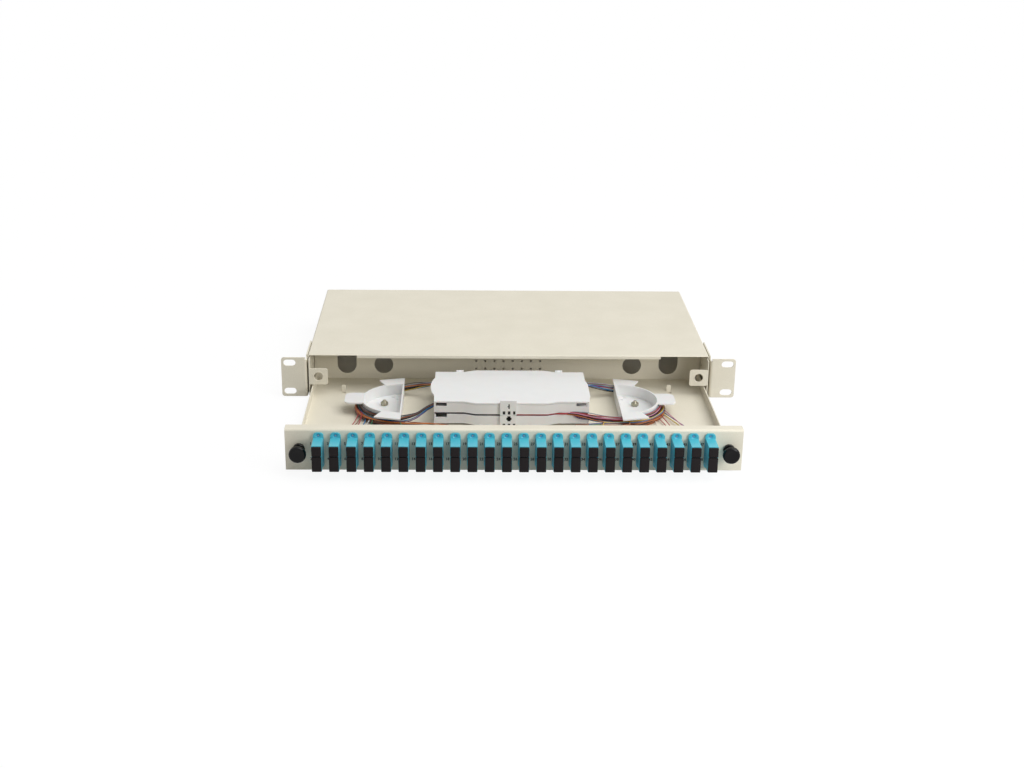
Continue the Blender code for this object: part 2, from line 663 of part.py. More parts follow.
def baked_mesh(item, name):
    depsgraph = bpy.context.evaluated_depsgraph_get()
    mesh = bpy.data.meshes.new_from_object(item.evaluated_get(depsgraph))
    mesh.name = name
    for tool in list(item.children):
        bpy.data.objects.remove(tool, do_unlink=True)
    bpy.data.objects.remove(item, do_unlink=True)
    return mesh


def adapter_mesh(plastic):
    # One duplex adapter, its two dust caps in front and its two pigtail plugs behind, seated in it
    flange_front = PANEL_FACE_Y - GAP - FLANGE_THICKNESS
    body_front = flange_front - ADAPTER_FRONT
    body = rectangle(-ADAPTER_WIDTH / 2, ADAPTER_WIDTH / 2, -ADAPTER_HEIGHT / 2, ADAPTER_HEIGHT / 2)
    flange = rounded_rectangle(-ADAPTER_WIDTH / 2 - GAP, ADAPTER_WIDTH / 2 + GAP,
                               -FLANGE_HEIGHT / 2, FLANGE_HEIGHT / 2, FLANGE_CORNER, 1)
    master = add_object("adapter_master", prisms((body, "Y", body_front, ADAPTER_REAR)), plastic, None)
    fuse(master, prisms((flange, "Y", flange_front, flange_front + FLANGE_THICKNESS)))
    seat = GAP
    additions = []
    boots = []
    holes = []
    for up in (-1, 1):
        z = up * PORT_SPACING / 2
        cap = rectangle(-CAP_WIDTH / 2, CAP_WIDTH / 2, z - CAP_HEIGHT / 2, z + CAP_HEIGHT / 2)
        additions.append((cap, "Y", body_front - CAP_THICKNESS, body_front + seat))
        plug = rectangle(-PLUG_WIDTH / 2, PLUG_WIDTH / 2, z - PLUG_HEIGHT / 2, z + PLUG_HEIGHT / 2)
        additions.append((plug, "Y", ADAPTER_REAR - seat, ADAPTER_REAR + PLUG_LENGTH))
        boot_root = ADAPTER_REAR + PLUG_LENGTH - seat
        boot = [(0, boot_root), (BOOT_ROOT_RADIUS, boot_root),
                (BOOT_TIP_RADIUS, boot_root + BOOT_LENGTH), (0, boot_root + BOOT_LENGTH)]
        boots.append(turned(boot, "Y", (0, 0, z), SMALL_HOLE_SIDES))
        hole = circle((0, up * FLANGE_HOLE_OFFSET), FLANGE_HOLE_RADIUS, SMALL_HOLE_SIDES)
        holes.append((hole, "Y", flange_front - GAP, flange_front + FLANGE_THICKNESS + GAP))
    fuse(master, prisms(*additions), *boots)
    cut(master, prisms(*holes))
    return baked_mesh(master, "adapter")


def make_latch(name, side, plastic, drawer):
    centre = (side * LATCH_X, 0, LATCH_Z)
    bore = PLUNGER_RADIUS + GAP
    collar_rear = PANEL_FACE_Y - GAP
    collar_front = collar_rear - GROMMET_COLLAR_LENGTH
    sleeve_rear = GROMMET_SLEEVE_LENGTH
    ring = [
        (bore, collar_front),
        (GROMMET_COLLAR_RADIUS - GROMMET_CHAMFER, collar_front),
        (GROMMET_COLLAR_RADIUS, collar_front + GROMMET_CHAMFER),
        (GROMMET_COLLAR_RADIUS, collar_rear),
        (GROMMET_SLEEVE_RADIUS, collar_rear),
        (GROMMET_SLEEVE_RADIUS, sleeve_rear - GROMMET_LEAD),
        (GROMMET_SLEEVE_RADIUS - GROMMET_TAPER, sleeve_rear),
        (bore, sleeve_rear),
    ]
    grommet_mesh = turned(ring, "Y", (0, 0, 0), RING_SIDES)
    grommet = add_object(f"latch_grommet_{name}", grommet_mesh, plastic, drawer, centre)
    reach = 2 * GROMMET_SLEEVE_RADIUS
    slit = GROMMET_SLIT / 2
    slits = [(rectangle(-reach, reach, -slit, slit), "Y", HOUSING_SHEET * 1.5, sleeve_rear + reach),
             (rectangle(-slit, slit, -reach, reach), "Y", HOUSING_SHEET * 1.5, sleeve_rear + reach)]
    for shape in slits:
        cut(grommet, prisms(shape))

    head_rear = collar_front - GAP - PLUNGER_TRAVEL
    head_front = head_rear - PLUNGER_HEAD_LENGTH
    neck_end = head_rear - PLUNGER_NECK_LENGTH
    rod = [
        (0, sleeve_rear),
        (PLUNGER_RADIUS, sleeve_rear - PLUNGER_POINT),
        (PLUNGER_RADIUS, head_rear),
        (PLUNGER_NECK_RADIUS, head_rear),
        (PLUNGER_NECK_RADIUS, neck_end),
        (PLUNGER_HEAD_RADIUS - PLUNGER_POINT, neck_end - PLUNGER_CROWN),
        (PLUNGER_HEAD_RADIUS, neck_end - PLUNGER_EDGE),
        (PLUNGER_HEAD_RADIUS, head_front + PLUNGER_EDGE),
        (PLUNGER_HEAD_RADIUS - PLUNGER_EDGE, head_front + PLUNGER_CROWN),
        (0, head_front),
    ]
    mesh = turned(rod, "Y", (0, 0, 0), LARGE_HOLE_SIDES)
    smooth(mesh)
    add_object(f"latch_plunger_{name}", mesh, plastic, drawer, centre)


def guide_outline(radius):
    return arc((GUIDE_CHORD_X, GUIDE_CENTRE_Y), radius, -90, 90, GUIDE_ARC_STEPS)


def make_guide(name, side, plastic, steel, drawer):
    low = TRAY_FLOOR_TOP + GAP
    dish = shell(mirrored(guide_outline(GUIDE_RADIUS), side), low, GUIDE_TOP, GUIDE_WALL, GUIDE_FLOOR)
    guide = add_object(f"fibre_guide_{name}", dish, plastic, drawer)
    plate_low = GUIDE_TOP - GUIDE_PLATE
    plates = []
    for way in (-1, 1):
        wing = [
            (GUIDE_CHORD_X, GUIDE_CENTRE_Y + way * GUIDE_CHORD_HALF),
            (GUIDE_CHORD_X + GUIDE_WING_TIP[0], GUIDE_CENTRE_Y + way * GUIDE_WING_TIP[1]),
            (GUIDE_CHORD_X + GUIDE_NOTCH[0], GUIDE_CENTRE_Y + way * GUIDE_NOTCH[1]),
            (GUIDE_CHORD_X + GUIDE_NOTCH[0] - GUIDE_WALL,
             GUIDE_CENTRE_Y + way * (GUIDE_NOTCH[1] - GUIDE_WALL)),
            (GUIDE_CHORD_X + GUIDE_WALL / 2, GUIDE_CENTRE_Y + way * (GUIDE_RADIUS - GUIDE_WALL / 2)),
            (GUIDE_CHORD_X, GUIDE_CENTRE_Y + way * (GUIDE_RADIUS - GUIDE_WALL / 2)),
        ]
        plates.append((mirrored(wing, side), "Z", plate_low, GUIDE_TOP))
    root_x = GUIDE_CHORD_X + GUIDE_RADIUS - 4 * GUIDE_WALL
    tab = rounded_rectangle(root_x, GUIDE_TAB_END_X, GUIDE_CENTRE_Y - GUIDE_TAB_HALF_WIDTH,
                            GUIDE_CENTRE_Y + GUIDE_TAB_HALF_WIDTH, GUIDE_TAB_CORNER)
    middle = (GUIDE_CHORD_X, GUIDE_CENTRE_Y)
    inner = [middle] + arc(middle, GUIDE_RADIUS - GUIDE_WALL / 2, -60, 60, 12)
    tab_item = add_object(f"{guide.name}_tab", prisms((mirrored(tab, side), "Z", plate_low, GUIDE_TOP)),
                          plastic, None)
    cut(tab_item, prisms((mirrored(inner, side), "Z", plate_low - GUIDE_PLATE, GUIDE_TOP + GUIDE_PLATE)))
    fuse(guide, prisms(*plates), baked_mesh(tab_item, "guide_tab"))

    under = low - GUIDE_FLOOR
    over = low + 2 * GUIDE_FLOOR
    stud = (side * GUIDE_STUD[0], GUIDE_STUD[1])
    holes = [(circle(stud, STUD_RADIUS + GAP, STUD_SIDES), "Z", under, over)]
    for across, back in GUIDE_SLOT_OFFSETS:
        x = side * (GUIDE_CHORD_X + across)
        y = GUIDE_CENTRE_Y + back
        holes.append((rectangle(x - GUIDE_SLOT_LENGTH / 2, x + GUIDE_SLOT_LENGTH / 2,
                                y - GUIDE_SLOT_WIDTH / 2, y + GUIDE_SLOT_WIDTH / 2), "Z", under, over))
    cut(guide, prisms(*holes))
    make_nut(f"guide_nut_{name}", stud, low + GUIDE_FLOOR + GAP, steel, drawer)


def make_nut(name, centre, low, steel, drawer):
    hexagon = circle((0, 0), NUT_ACROSS_FLATS / 2 / math.cos(math.pi / 6), 6)
    nut = add_object(name, prisms((hexagon, "Z", 0, NUT_HEIGHT)), steel, drawer, (*centre, low))
    bore = circle((0, 0), STUD_RADIUS + GAP, STUD_SIDES)
    cut(nut, prisms((bore, "Z", -NUT_HEIGHT, 2 * NUT_HEIGHT)))


def splice_outline(side_bulge=0.0):
    # Seen from above, with its middle pushed out at the front and at the rear
    half = SPLICE_HALF_DEPTH
    step = SPLICE_BULGE_STEP_X
    flat = SPLICE_BULGE_HALF_WIDTH
    wide = SPLICE_HALF_WIDTH
    rear = [(-wide, half), (-step, half), (-flat, half + SPLICE_BULGE)]
    rear += [(flat, half + SPLICE_BULGE), (step, half), (wide, half)]
    right = [(wide, -half)]
    front = [(step, -half), (flat, -half - SPLICE_BULGE), (-flat, -half - SPLICE_BULGE), (-step, -half)]
    left = [(-wide, -half)]
    if side_bulge:
        chord = half * 0.60
        radius = (chord ** 2 + side_bulge ** 2) / (2 * side_bulge)
        spread = math.degrees(math.asin(chord / radius))
        left += arc((-wide - side_bulge + radius, 0), radius, 180 + spread, 180 - spread, 8)
        out = wide + side_bulge / 2
        right = [(wide, half * 0.45), (out, half * 0.15), (out, -chord)] + right
    return rear + right + front + left


def make_splice_tray(name, low, clip_top, with_hinge, plastic, drawer):
    tray = add_object(name, shell(splice_outline(), low, low + SPLICE_HEIGHT, SPLICE_WALL, SPLICE_FLOOR),
                      plastic, drawer, (0, SPLICE_CENTRE_Y, 0))
    half = SPLICE_HALF_DEPTH
    top = low + SPLICE_HEIGHT
    overlap = SPLICE_WALL / 3
    feet = []
    for side in (-1, 1):
        for way in (-1, 1):
            centre = (side * (SPLICE_HALF_WIDTH - 2 * SPLICE_FOOT_RADIUS),
                      way * (half - 2 * SPLICE_FOOT_RADIUS))
            foot = circle(centre, SPLICE_FOOT_RADIUS, SCREW_SIDES)
            feet.append((foot, "Z", low - SPLICE_FOOT, low + overlap))
    front_y = -half - SPLICE_BULGE
    clip = rectangle(CLIP_X - CLIP_WIDTH / 2, CLIP_X + CLIP_WIDTH / 2, low - SPLICE_FOOT / 2, clip_top)
    plate = prisms((clip, "Y", front_y - CLIP_THICKNESS, front_y + overlap))
    fuse(tray, prisms(*feet), plate)

    inside_top = top - 2 * SPLICE_WALL
    inside = []
    for side in (-1, 1):
        centre = (side * SPLICE_BOSS_X, 0)
        outer = circle(centre, SPLICE_BOSS_RADIUS, RING_SIDES)
        inner = circle(centre, SPLICE_BOSS_RADIUS - SPLICE_WALL, RING_SIDES)
        ring = prisms((outer, "Z", low + overlap, inside_top))
        boss = add_object(f"{name}_boss", ring, plastic, None)
        cut(boss, prisms((inner, "Z", low, top)))
        inside.append(baked_mesh(boss, "boss"))
    ribs = []
    for number in range(SPLICE_COMB_RIBS):
        y = (number - (SPLICE_COMB_RIBS - 1) / 2) * SPLICE_COMB_PITCH
        for side in (-1, 1):
            span = sorted((side * SPLICE_COMB_START, side * SPLICE_BOSS_RADIUS))
            rib = rectangle(*span, y - SPLICE_RIB_HALF, y + SPLICE_RIB_HALF)
            ribs.append((rib, "Z", low + overlap, inside_top))
    fuse(tray, *inside, prisms(*ribs))

    bore = circle((0, 0), STUD_RADIUS + GAP, STUD_SIDES)
    cuts = [(bore, "Z", low - SPLICE_FLOOR, low + 2 * SPLICE_FLOOR)]
    for side in (-1, 1):
        window = sorted(side * (SPLICE_HALF_WIDTH - inset) for inset in SPLICE_WINDOW_INSETS)
        cuts.append((rectangle(*window, top - SPLICE_WINDOW_DEPTH, top + SPLICE_WALL), "Y",
                     -half - SPLICE_WALL, -half + 2 * SPLICE_WALL))
        for way in (-1, 1):
            entry_y = way * SPLICE_ENTRY_Y
            entry = rectangle(entry_y - SPLICE_ENTRY_WIDTH / 2, entry_y + SPLICE_ENTRY_WIDTH / 2,
                              top - SPLICE_ENTRY_DROP, top + SPLICE_WALL)
            span = sorted((side * (SPLICE_HALF_WIDTH - 2 * SPLICE_WALL),
                           side * (SPLICE_HALF_WIDTH + SPLICE_WALL)))
            cuts.append((entry, "X", *span))
    cut(tray, prisms(*cuts))
    if with_hinge:
        add_hinge_lugs(tray, top)


def add_hinge_lugs(tray, top):
    # Two pairs of round-topped lugs with a pin between them, and room for the lid's rear edge to swing down
    hinge_y = SPLICE_HALF_DEPTH + HINGE_BEHIND
    relief = rectangle(-SPLICE_BULGE_STEP_X, SPLICE_BULGE_STEP_X,
                       top - HINGE_RELIEF, top + SPLICE_WALL)
    cut(tray, prisms((relief, "Y", SPLICE_HALF_DEPTH - 2 * SPLICE_WALL,
                      SPLICE_HALF_DEPTH + 2 * SPLICE_BULGE)))
    root_low = top - SPLICE_HEIGHT / 2
    root_high = top - GAP
    lug = arc((hinge_y, HINGE_Z), KNUCKLE_RADIUS, 0, 180, 8)
    lug += [(SPLICE_HALF_DEPTH + GAP, root_high), (SPLICE_HALF_DEPTH - SPLICE_WALL / 3, root_high)]
    lug += [(SPLICE_HALF_DEPTH - SPLICE_WALL / 3, root_low), (hinge_y + KNUCKLE_RADIUS, root_low)]
    inner = KNUCKLE_WIDTH / 2 + GAP
    for side in (-1, 1):
        centre = side * HINGE_X
        plates = [(lug, "X", centre + inner, centre + inner + HINGE_LUG_WIDTH),
                  (lug, "X", centre - inner - HINGE_LUG_WIDTH, centre - inner)]
        pin = prisms((circle((hinge_y, HINGE_Z), HINGE_PIN_RADIUS, 10), "X",
                      centre - inner - HINGE_LUG_WIDTH / 2, centre + inner + HINGE_LUG_WIDTH / 2))
        fuse(tray, prisms(*plates), pin)


def make_splice_lid(plastic, hinge):
    outline = [(x, y - SPLICE_HALF_DEPTH - HINGE_BEHIND) for x, y in splice_outline(LID_SIDE_BULGE)]
    low = -SPLICE_LID / 2
    lid = add_object("splice_lid", prisms((outline, "Z", low, -low)), plastic, hinge)
    rings = []
    tongues = []
    bores = []
    for side in (-1, 1):
        centre = side * HINGE_X
        left = centre - KNUCKLE_WIDTH / 2
        right = centre + KNUCKLE_WIDTH / 2
        rings.append((circle((0, 0), KNUCKLE_RADIUS, LARGE_HOLE_SIDES), "X", left, right))
        tongue = rectangle(-HINGE_BEHIND - SPLICE_WALL, -HINGE_PIN_RADIUS, low, -low)
        tongues.append((tongue, "X", left, right))
        bore = circle((0, 0), HINGE_PIN_RADIUS + GAP, STUD_SIDES)
        bores.append((bore, "X", left - GAP, right + GAP))
    fuse(lid, prisms(*rings), prisms(*tongues))
    cut(lid, prisms(*bores))


def smooth_route(points, spacing):
    # Points about one spacing apart on a curve that passes through all the given ones
    route = []
    padded = [points[0]] + list(points) + [points[-1]]
    for index in range(1, len(padded) - 2):
        p0, p1, p2, p3 = padded[index - 1:index + 3]
        steps = max(1, round(math.dist(p1, p2) / spacing))
        for step in range(steps):
            t = step / steps
            point = []
            for a, b, c, d in zip(p0, p1, p2, p3):
                bend = (2 * a - 5 * b + 4 * c - d) * t ** 2 + (3 * b - a - 3 * c + d) * t ** 3
                point.append(0.5 * (2 * b + (c - a) * t + bend))
            route.append(tuple(point))
    route.append(tuple(points[-1]))
    return route


def make_fibre(name, points, radius, spacing, finish, drawer):
    curve = bpy.data.curves.new(name, "CURVE")
    curve.dimensions = "3D"
    curve.bevel_depth = radius
    curve.bevel_resolution = 2
    curve.use_fill_caps = True
    route = smooth_route(points, spacing)
    spline = curve.splines.new("POLY")
    spline.points.add(len(route) - 1)
    for point, place_now in zip(spline.points, route):
        point.co = (*place_now, 1.0)
    curve.materials.append(finish)
    item = bpy.data.objects.new(name, curve)
    bpy.context.scene.collection.objects.link(item)
    item.parent = drawer


def make_fibres(finish, drawer):
    bundle_z = TRAY_FLOOR_TOP + 3 * GAP + BUNDLE_RADIUS
    loop_radius = GUIDE_RADIUS + 2 * GAP + BUNDLE_RADIUS
    loop_z = SPLICE_LOWER_Z + SPLICE_HEIGHT - SPLICE_ENTRY_DROP + GAP + BUNDLE_RADIUS
    entry_x = SPLICE_HALF_WIDTH - SPLICE_WALL / 2
    clear_x = SPLICE_HALF_WIDTH + 2 * BUNDLE_RADIUS
    rear_entry = SPLICE_CENTRE_Y + SPLICE_ENTRY_Y
    front_entry = SPLICE_CENTRE_Y - SPLICE_ENTRY_Y
    loop = [(entry_x, rear_entry), (clear_x, rear_entry), (clear_x + LOOP_LEAD, rear_entry + LOOP_REAR_RISE)]
    loop += arc((GUIDE_CHORD_X, GUIDE_CENTRE_Y), loop_radius, 90, -90, 6)
    loop += [(clear_x + LOOP_LEAD, front_entry - LOOP_FRONT_DROP)]
    loop += [(clear_x, front_entry), (entry_x, front_entry)]
    trunk_radius = loop_radius + 2 * BUNDLE_RADIUS + TRUNK_GAP
    trunk = arc((GUIDE_CHORD_X, GUIDE_CENTRE_Y), trunk_radius, TRUNK_START_ANGLE, -90, 5)
    trunk += [(GUIDE_CHORD_X - away, GUIDE_CENTRE_Y - trunk_radius - drop) for away, drop in TRUNK_RUN]
    for name, side in SIDES.items():
        for kind, route, z in (("loop", loop, loop_z), ("trunk", trunk, bundle_z)):
            points = [(side * x, y, z) for x, y in route]
            make_fibre(f"fibre_{kind}_{name}", points, BUNDLE_RADIUS, BUNDLE_STEP, finish, drawer)

    front_wall = SPLICE_CENTRE_Y - SPLICE_HALF_DEPTH
    crossing_z = SPLICE_LOWER_Z + SPLICE_HEIGHT + (SPLICE_PITCH - SPLICE_HEIGHT) / 2
    reach = SPLICE_HALF_WIDTH - CROSSING_INSET
    feet_clear = SPLICE_HALF_WIDTH - 4 * SPLICE_FOOT_RADIUS
    half = [(reach, CROSSING_END_Y), (feet_clear, CROSSING_END_Y), (CROSSING_MIDDLE_X, CROSSING_MIDDLE_Y)]
    crossing = [(-x, front_wall + y, crossing_z) for x, y in half]
    crossing += [(x, front_wall + y, crossing_z) for x, y in half[::-1]]
    make_fibre("crossing_fibre", crossing, CROSSING_RADIUS, CROSSING_STEP, finish, drawer)


def build():
    clear_scene()
    paint = make_finish("powder_coat", (0.70, 0.66, 0.56), 0.55)
    steel = make_finish("zinc_steel", (0.50, 0.49, 0.46), 0.35, 1.0)
    aqua = make_finish("aqua_plastic", (0.10, 0.50, 0.62), 0.40)
    white = make_finish("white_abs", (0.78, 0.78, 0.76), 0.45)
    black = make_finish("black_nylon", (0.02, 0.02, 0.02), 0.30)
    fibre = make_finish("fibre_jacket", (0.30, 0.12, 0.08), 0.50)

    root = add_empty("housing_frame", (0, 0, 0))
    drawer = add_empty("drawer_slide_frame", (0, DRAWER_FRAME_Y, 0))
    make_housing(paint, steel, root)
    make_front_panel(paint, drawer)
    make_drawer_tray(paint, steel, drawer)
    make_drawer_rear_wall(paint, drawer)

    adapter = adapter_mesh(aqua)
    for number, x in enumerate(port_centres(), 1):
        add_object(f"adapter_{number:02d}", adapter, aqua, drawer, (x, 0, PANEL_CENTRE_Z))
    for name, side in SIDES.items():
        make_latch(name, side, black, drawer)
        make_guide(name, side, white, steel, drawer)

    lower_top = SPLICE_LOWER_Z + SPLICE_HEIGHT
    make_splice_tray("splice_tray_lower", SPLICE_LOWER_Z, lower_top, False, white, drawer)
    make_splice_tray("splice_tray_upper", SPLICE_UPPER_Z, SPLICE_LID_Z - GAP, True, white, drawer)
    make_nut("stack_nut", (0, SPLICE_CENTRE_Y), SPLICE_UPPER_Z + SPLICE_FLOOR + GAP, steel, drawer)
    hinge = add_empty("lid_hinge_axis", (0, HINGE_Y, HINGE_Z), drawer)
    make_splice_lid(white, hinge)
    make_fibres(fibre, drawer)


build()
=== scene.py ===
# %% [markdown]
# # A fibre patch panel, finished over its CAD frame
# The real object is a shallow steel drawer that slides out of a one unit high rack housing. Its front
# panel holds a row of duplex adapters. Behind it lie white splice trays, half-moon guides and bundles of
# coloured fibre. The CAD frame already has every piece at its real size, so this script loads it and adds
# what the eye needs: paint, moulded plastic, rounded edges, separate fibres, caps and printed numbers.

# %% Load the frame
import math
import random

import bmesh
import bpy
from mathutils import Matrix, Vector


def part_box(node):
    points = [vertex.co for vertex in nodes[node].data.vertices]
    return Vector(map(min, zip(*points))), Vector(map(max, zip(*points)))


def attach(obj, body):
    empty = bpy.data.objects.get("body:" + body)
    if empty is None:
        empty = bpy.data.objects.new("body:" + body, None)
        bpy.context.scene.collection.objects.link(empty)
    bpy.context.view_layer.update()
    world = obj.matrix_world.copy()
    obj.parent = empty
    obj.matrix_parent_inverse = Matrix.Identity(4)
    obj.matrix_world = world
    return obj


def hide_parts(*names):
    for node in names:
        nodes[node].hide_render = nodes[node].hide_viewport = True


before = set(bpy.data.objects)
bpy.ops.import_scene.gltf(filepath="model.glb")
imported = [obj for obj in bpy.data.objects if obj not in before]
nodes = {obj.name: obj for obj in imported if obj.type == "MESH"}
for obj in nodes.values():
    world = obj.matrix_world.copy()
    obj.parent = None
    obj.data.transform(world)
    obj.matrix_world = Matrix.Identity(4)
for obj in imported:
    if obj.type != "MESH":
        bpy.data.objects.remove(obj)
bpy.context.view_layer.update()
MM = 0.001
SIDES = {"left": -1, "right": 1}

# %% [markdown]
# ## Camera
# The photograph was taken from in front and above, with the camera turned and tilted a little. Its place
# was worked out from the corners of the cover, the ears and the panel, so it is written as a point, three
# angles and a focal length, and turned into a matrix here.

# %% Camera
CAMERA_PLACE = Vector((-0.0474, -1.5789, 0.5688))
CAMERA_TURN = 0.034504
CAMERA_DIP = 0.363162
CAMERA_ROLL = 0.015898
CAMERA_LENS = 51.44
SENSOR_WIDTH = 36.0


def camera_matrix():
    forward = Vector((math.sin(CAMERA_TURN) * math.cos(CAMERA_DIP),
                      math.cos(CAMERA_TURN) * math.cos(CAMERA_DIP), -math.sin(CAMERA_DIP)))
    level_right = Vector((math.cos(CAMERA_TURN), -math.sin(CAMERA_TURN), 0))
    level_up = level_right.cross(forward)
    right = math.cos(CAMERA_ROLL) * level_right + math.sin(CAMERA_ROLL) * level_up
    up = math.cos(CAMERA_ROLL) * level_up - math.sin(CAMERA_ROLL) * level_right
    matrix = Matrix((right, up, -forward)).transposed().to_4x4()
    matrix.translation = CAMERA_PLACE
    return matrix


camera_data = bpy.data.cameras.new("photo_camera")
camera_data.lens = CAMERA_LENS
camera_data.sensor_width = SENSOR_WIDTH
camera = bpy.data.objects.new("photo_camera", camera_data)
bpy.context.scene.collection.objects.link(camera)
camera.matrix_world = camera_matrix()
bpy.context.scene.camera = camera
print("Camera stands", round(CAMERA_PLACE.length, 3), "m from the housing")

# %% [markdown]
# ## Helpers for materials
# Every finish is a small node tree. One function turns a written colour into the linear values that the
# shader wants, and one adds a node with its settings and links. The others start a material, add a noise, a
# blend of two colours, a range of values or a bump to it, and close it.

# %% Material helpers


def linear(code):
    values = []
    for start in (1, 3, 5):
        channel = int(code[start:start + 2], 16) / 255
        values.append(channel / 12.92 if channel <= 0.04045 else ((channel + 0.055) / 1.055) ** 2.4)
    return (*values, 1.0)


def add_node(tree, kind, inputs=None, **settings):
    made = tree.nodes.new(kind)
    for name, value in settings.items():
        setattr(made, name, value)
    for name, value in (inputs or {}).items():
        if isinstance(value, bpy.types.NodeSocket):
            tree.links.new(value, made.inputs[name])
        else:
            made.inputs[name].default_value = value
    return made


def start_material(name):
    material = bpy.data.materials.new(name)
    material.use_nodes = True
    tree = material.node_tree
    tree.nodes.clear()
    place = add_node(tree, "ShaderNodeTexCoord").outputs["Object"]
    return material, tree, place


def noise(tree, place, size, detail=2.0):
    made = add_node(tree, "ShaderNodeTexNoise", {"Vector": place, "Scale": 1 / size, "Detail": detail})
    return made.outputs["Fac"]


def blend(tree, factor, first, second):
    made = add_node(tree, "ShaderNodeMix", {"Factor": factor, "A": first, "B": second}, data_type="RGBA")
    return made.outputs["Result"]


def spread(tree, value, low, high):
    made = add_node(tree, "ShaderNodeMapRange", {"Value": value, "To Min": low, "To Max": high})
    return made.outputs["Result"]


def bump(tree, height, strength, depth):
    made = add_node(tree, "ShaderNodeBump", {"Height": height, "Strength": strength, "Distance": depth})
    return made.outputs["Normal"]


def close_material(tree, settings):
    shader = add_node(tree, "ShaderNodeBsdfPrincipled", settings)
    add_node(tree, "ShaderNodeOutputMaterial", {"Surface": shader.outputs["BSDF"]})


# %% [markdown]
# ## Powder-coated steel
# The housing, ears, tray and panel are folded sheet steel with a beige polyester powder coat. Baked powder
# flows into a fine orange peel with bumps about 0.7 mm apart, and its colour is even apart from a faint
# mottle. The bumps are drawn a little coarser, at 1.2 mm, so that they show at the photograph's distance.

# %% Powder coat
PAINT_GRAIN = 1.2 * MM
PAINT_MOTTLE = 35 * MM
PAINT_RAMP = {"From Min": 0.12, "From Max": 0.40}
PAINT_GLOSS = (0.46, 0.60)
PEEL_STRENGTH = 0.22
PEEL_DEPTH = 0.12 * MM


def powder_coated_steel(name, light, dark):
    material, tree, place = start_material(name)
    mottle = noise(tree, place, PAINT_MOTTLE, 3.0)
    speck = noise(tree, place, PAINT_GRAIN)
    both = add_node(tree, "ShaderNodeMath", {0: mottle, 1: speck}, operation="MULTIPLY")
    ramp = add_node(tree, "ShaderNodeMapRange", {"Value": both.outputs["Value"], **PAINT_RAMP})
    close_material(tree, {
        "Base Color": blend(tree, ramp.outputs["Result"], linear(dark), linear(light)),
        "Roughness": spread(tree, speck, *PAINT_GLOSS),
        "Normal": bump(tree, speck, PEEL_STRENGTH, PEEL_DEPTH), "IOR": 1.48})
    return material


paint = powder_coated_steel("beige_powder_coat", "#E2DCCB", "#DBD5C3")
print("Powder coat bumps are", round(PAINT_GRAIN / MM, 2), "mm apart")

# %% [markdown]
# ## Zinc-plated fasteners
# Screws, nuts and studs are steel with a thin passivated zinc plating. It is metallic, a little cloudy and
# slightly yellow, with fine spangles under a millimetre wide.

# %% Zinc plating
ZINC_CLOUD = 0.8 * MM
ZINC_GLOSS = (0.28, 0.45)


def zinc_plated_steel():
    material, tree, place = start_material("zinc_plating")
    cloud = noise(tree, place, ZINC_CLOUD, 3.0)
    close_material(tree, {
        "Base Color": blend(tree, cloud, linear("#8F8A76"), linear("#BDB8A6")),
        "Roughness": spread(tree, cloud, *ZINC_GLOSS), "Metallic": 1.0})
    return material


zinc = zinc_plated_steel()

# %% [markdown]
# ## Moulded plastics
# The adapters, caps, knobs, trays and guides are injection moulded. A mould leaves a faint texture and a
# slow unevenness in gloss. One builder makes them all: colour, gloss, how deep the mould's texture is, and
# how much light sinks in, which lifts the shaded sides of the white and aqua parts.

# %% Moulded plastics
MOULD_GRAIN = 0.9 * MM
MOULD_FLOW = 14 * MM
MOULD_DEPTH = 0.06 * MM
LIGHT_DEPTH = 2 * MM


def moulded_plastic(name, code, second, roughness, texture, sink=0.0, shine=0.5):
    material, tree, place = start_material(name)
    flow = noise(tree, place, MOULD_FLOW)
    grain = noise(tree, place, MOULD_GRAIN)
    close_material(tree, {
        "Base Color": blend(tree, flow, linear(second), linear(code)),
        "Roughness": spread(tree, flow, roughness - 0.05, roughness + 0.07),
        "Normal": bump(tree, grain, texture, MOULD_DEPTH), "IOR": 1.50, "Specular IOR Level": shine,
        "Subsurface Weight": sink, "Subsurface Scale": LIGHT_DEPTH})
    return material


white_abs = moulded_plastic("white_abs", "#E5E5E4", "#DFDFDD", 0.42, 0.15, sink=0.10)
aqua_pbt = moulded_plastic("aqua_pbt", "#50B9CB", "#46B0C3", 0.34, 0.12, sink=0.10)
# This blue is painted shade: it colours the rims in the lugs' countersinks as the dark shade round each rivet
sink_shade_blue = moulded_plastic("blue_eyelet_pbt", "#3D9DD0", "#348FC0", 0.40, 0.12)
cap_vinyl = moulded_plastic("black_cap_vinyl", "#221E1F", "#1B1819", 0.60, 0.30, shine=0.12)
knob_nylon = moulded_plastic("glossy_black_nylon", "#060607", "#040405", 0.16, 0.10, shine=0.20)
# This black rubber also colours the painted shadow sheets set deep in the clip plates' slots
boot_rubber_and_slot_shade = moulded_plastic("black_boot_rubber", "#232324", "#1C1C1D", 0.60, 0.20)
plug_plastic = moulded_plastic("beige_connector_pbt", "#D9CFB6", "#D0C6AC", 0.38, 0.12)

# %% [markdown]
# ## Printed numbers
# The port numbers are screen printed in a dark grey ink that is only slightly glossy.

# %% Printing ink
INK_WEAR = 0.6 * MM


def printing_ink():
    material, tree, place = start_material("dark_grey_ink")
    wear = noise(tree, place, INK_WEAR)
    close_material(tree, {
        "Base Color": blend(tree, wear, linear("#24221F"), linear("#35322D")), "Roughness": 0.5})
    return material


ink = printing_ink()

# %% [markdown]
# ## Fibre jackets
# Each pigtail is a 0.9 mm tight-buffered fibre. The twelve jackets of a group have the twelve standard
# colours, in smooth PVC with a soft shine. The colour drifts a little along a fibre, which keeps a bundle
# from looking like one flat stripe.

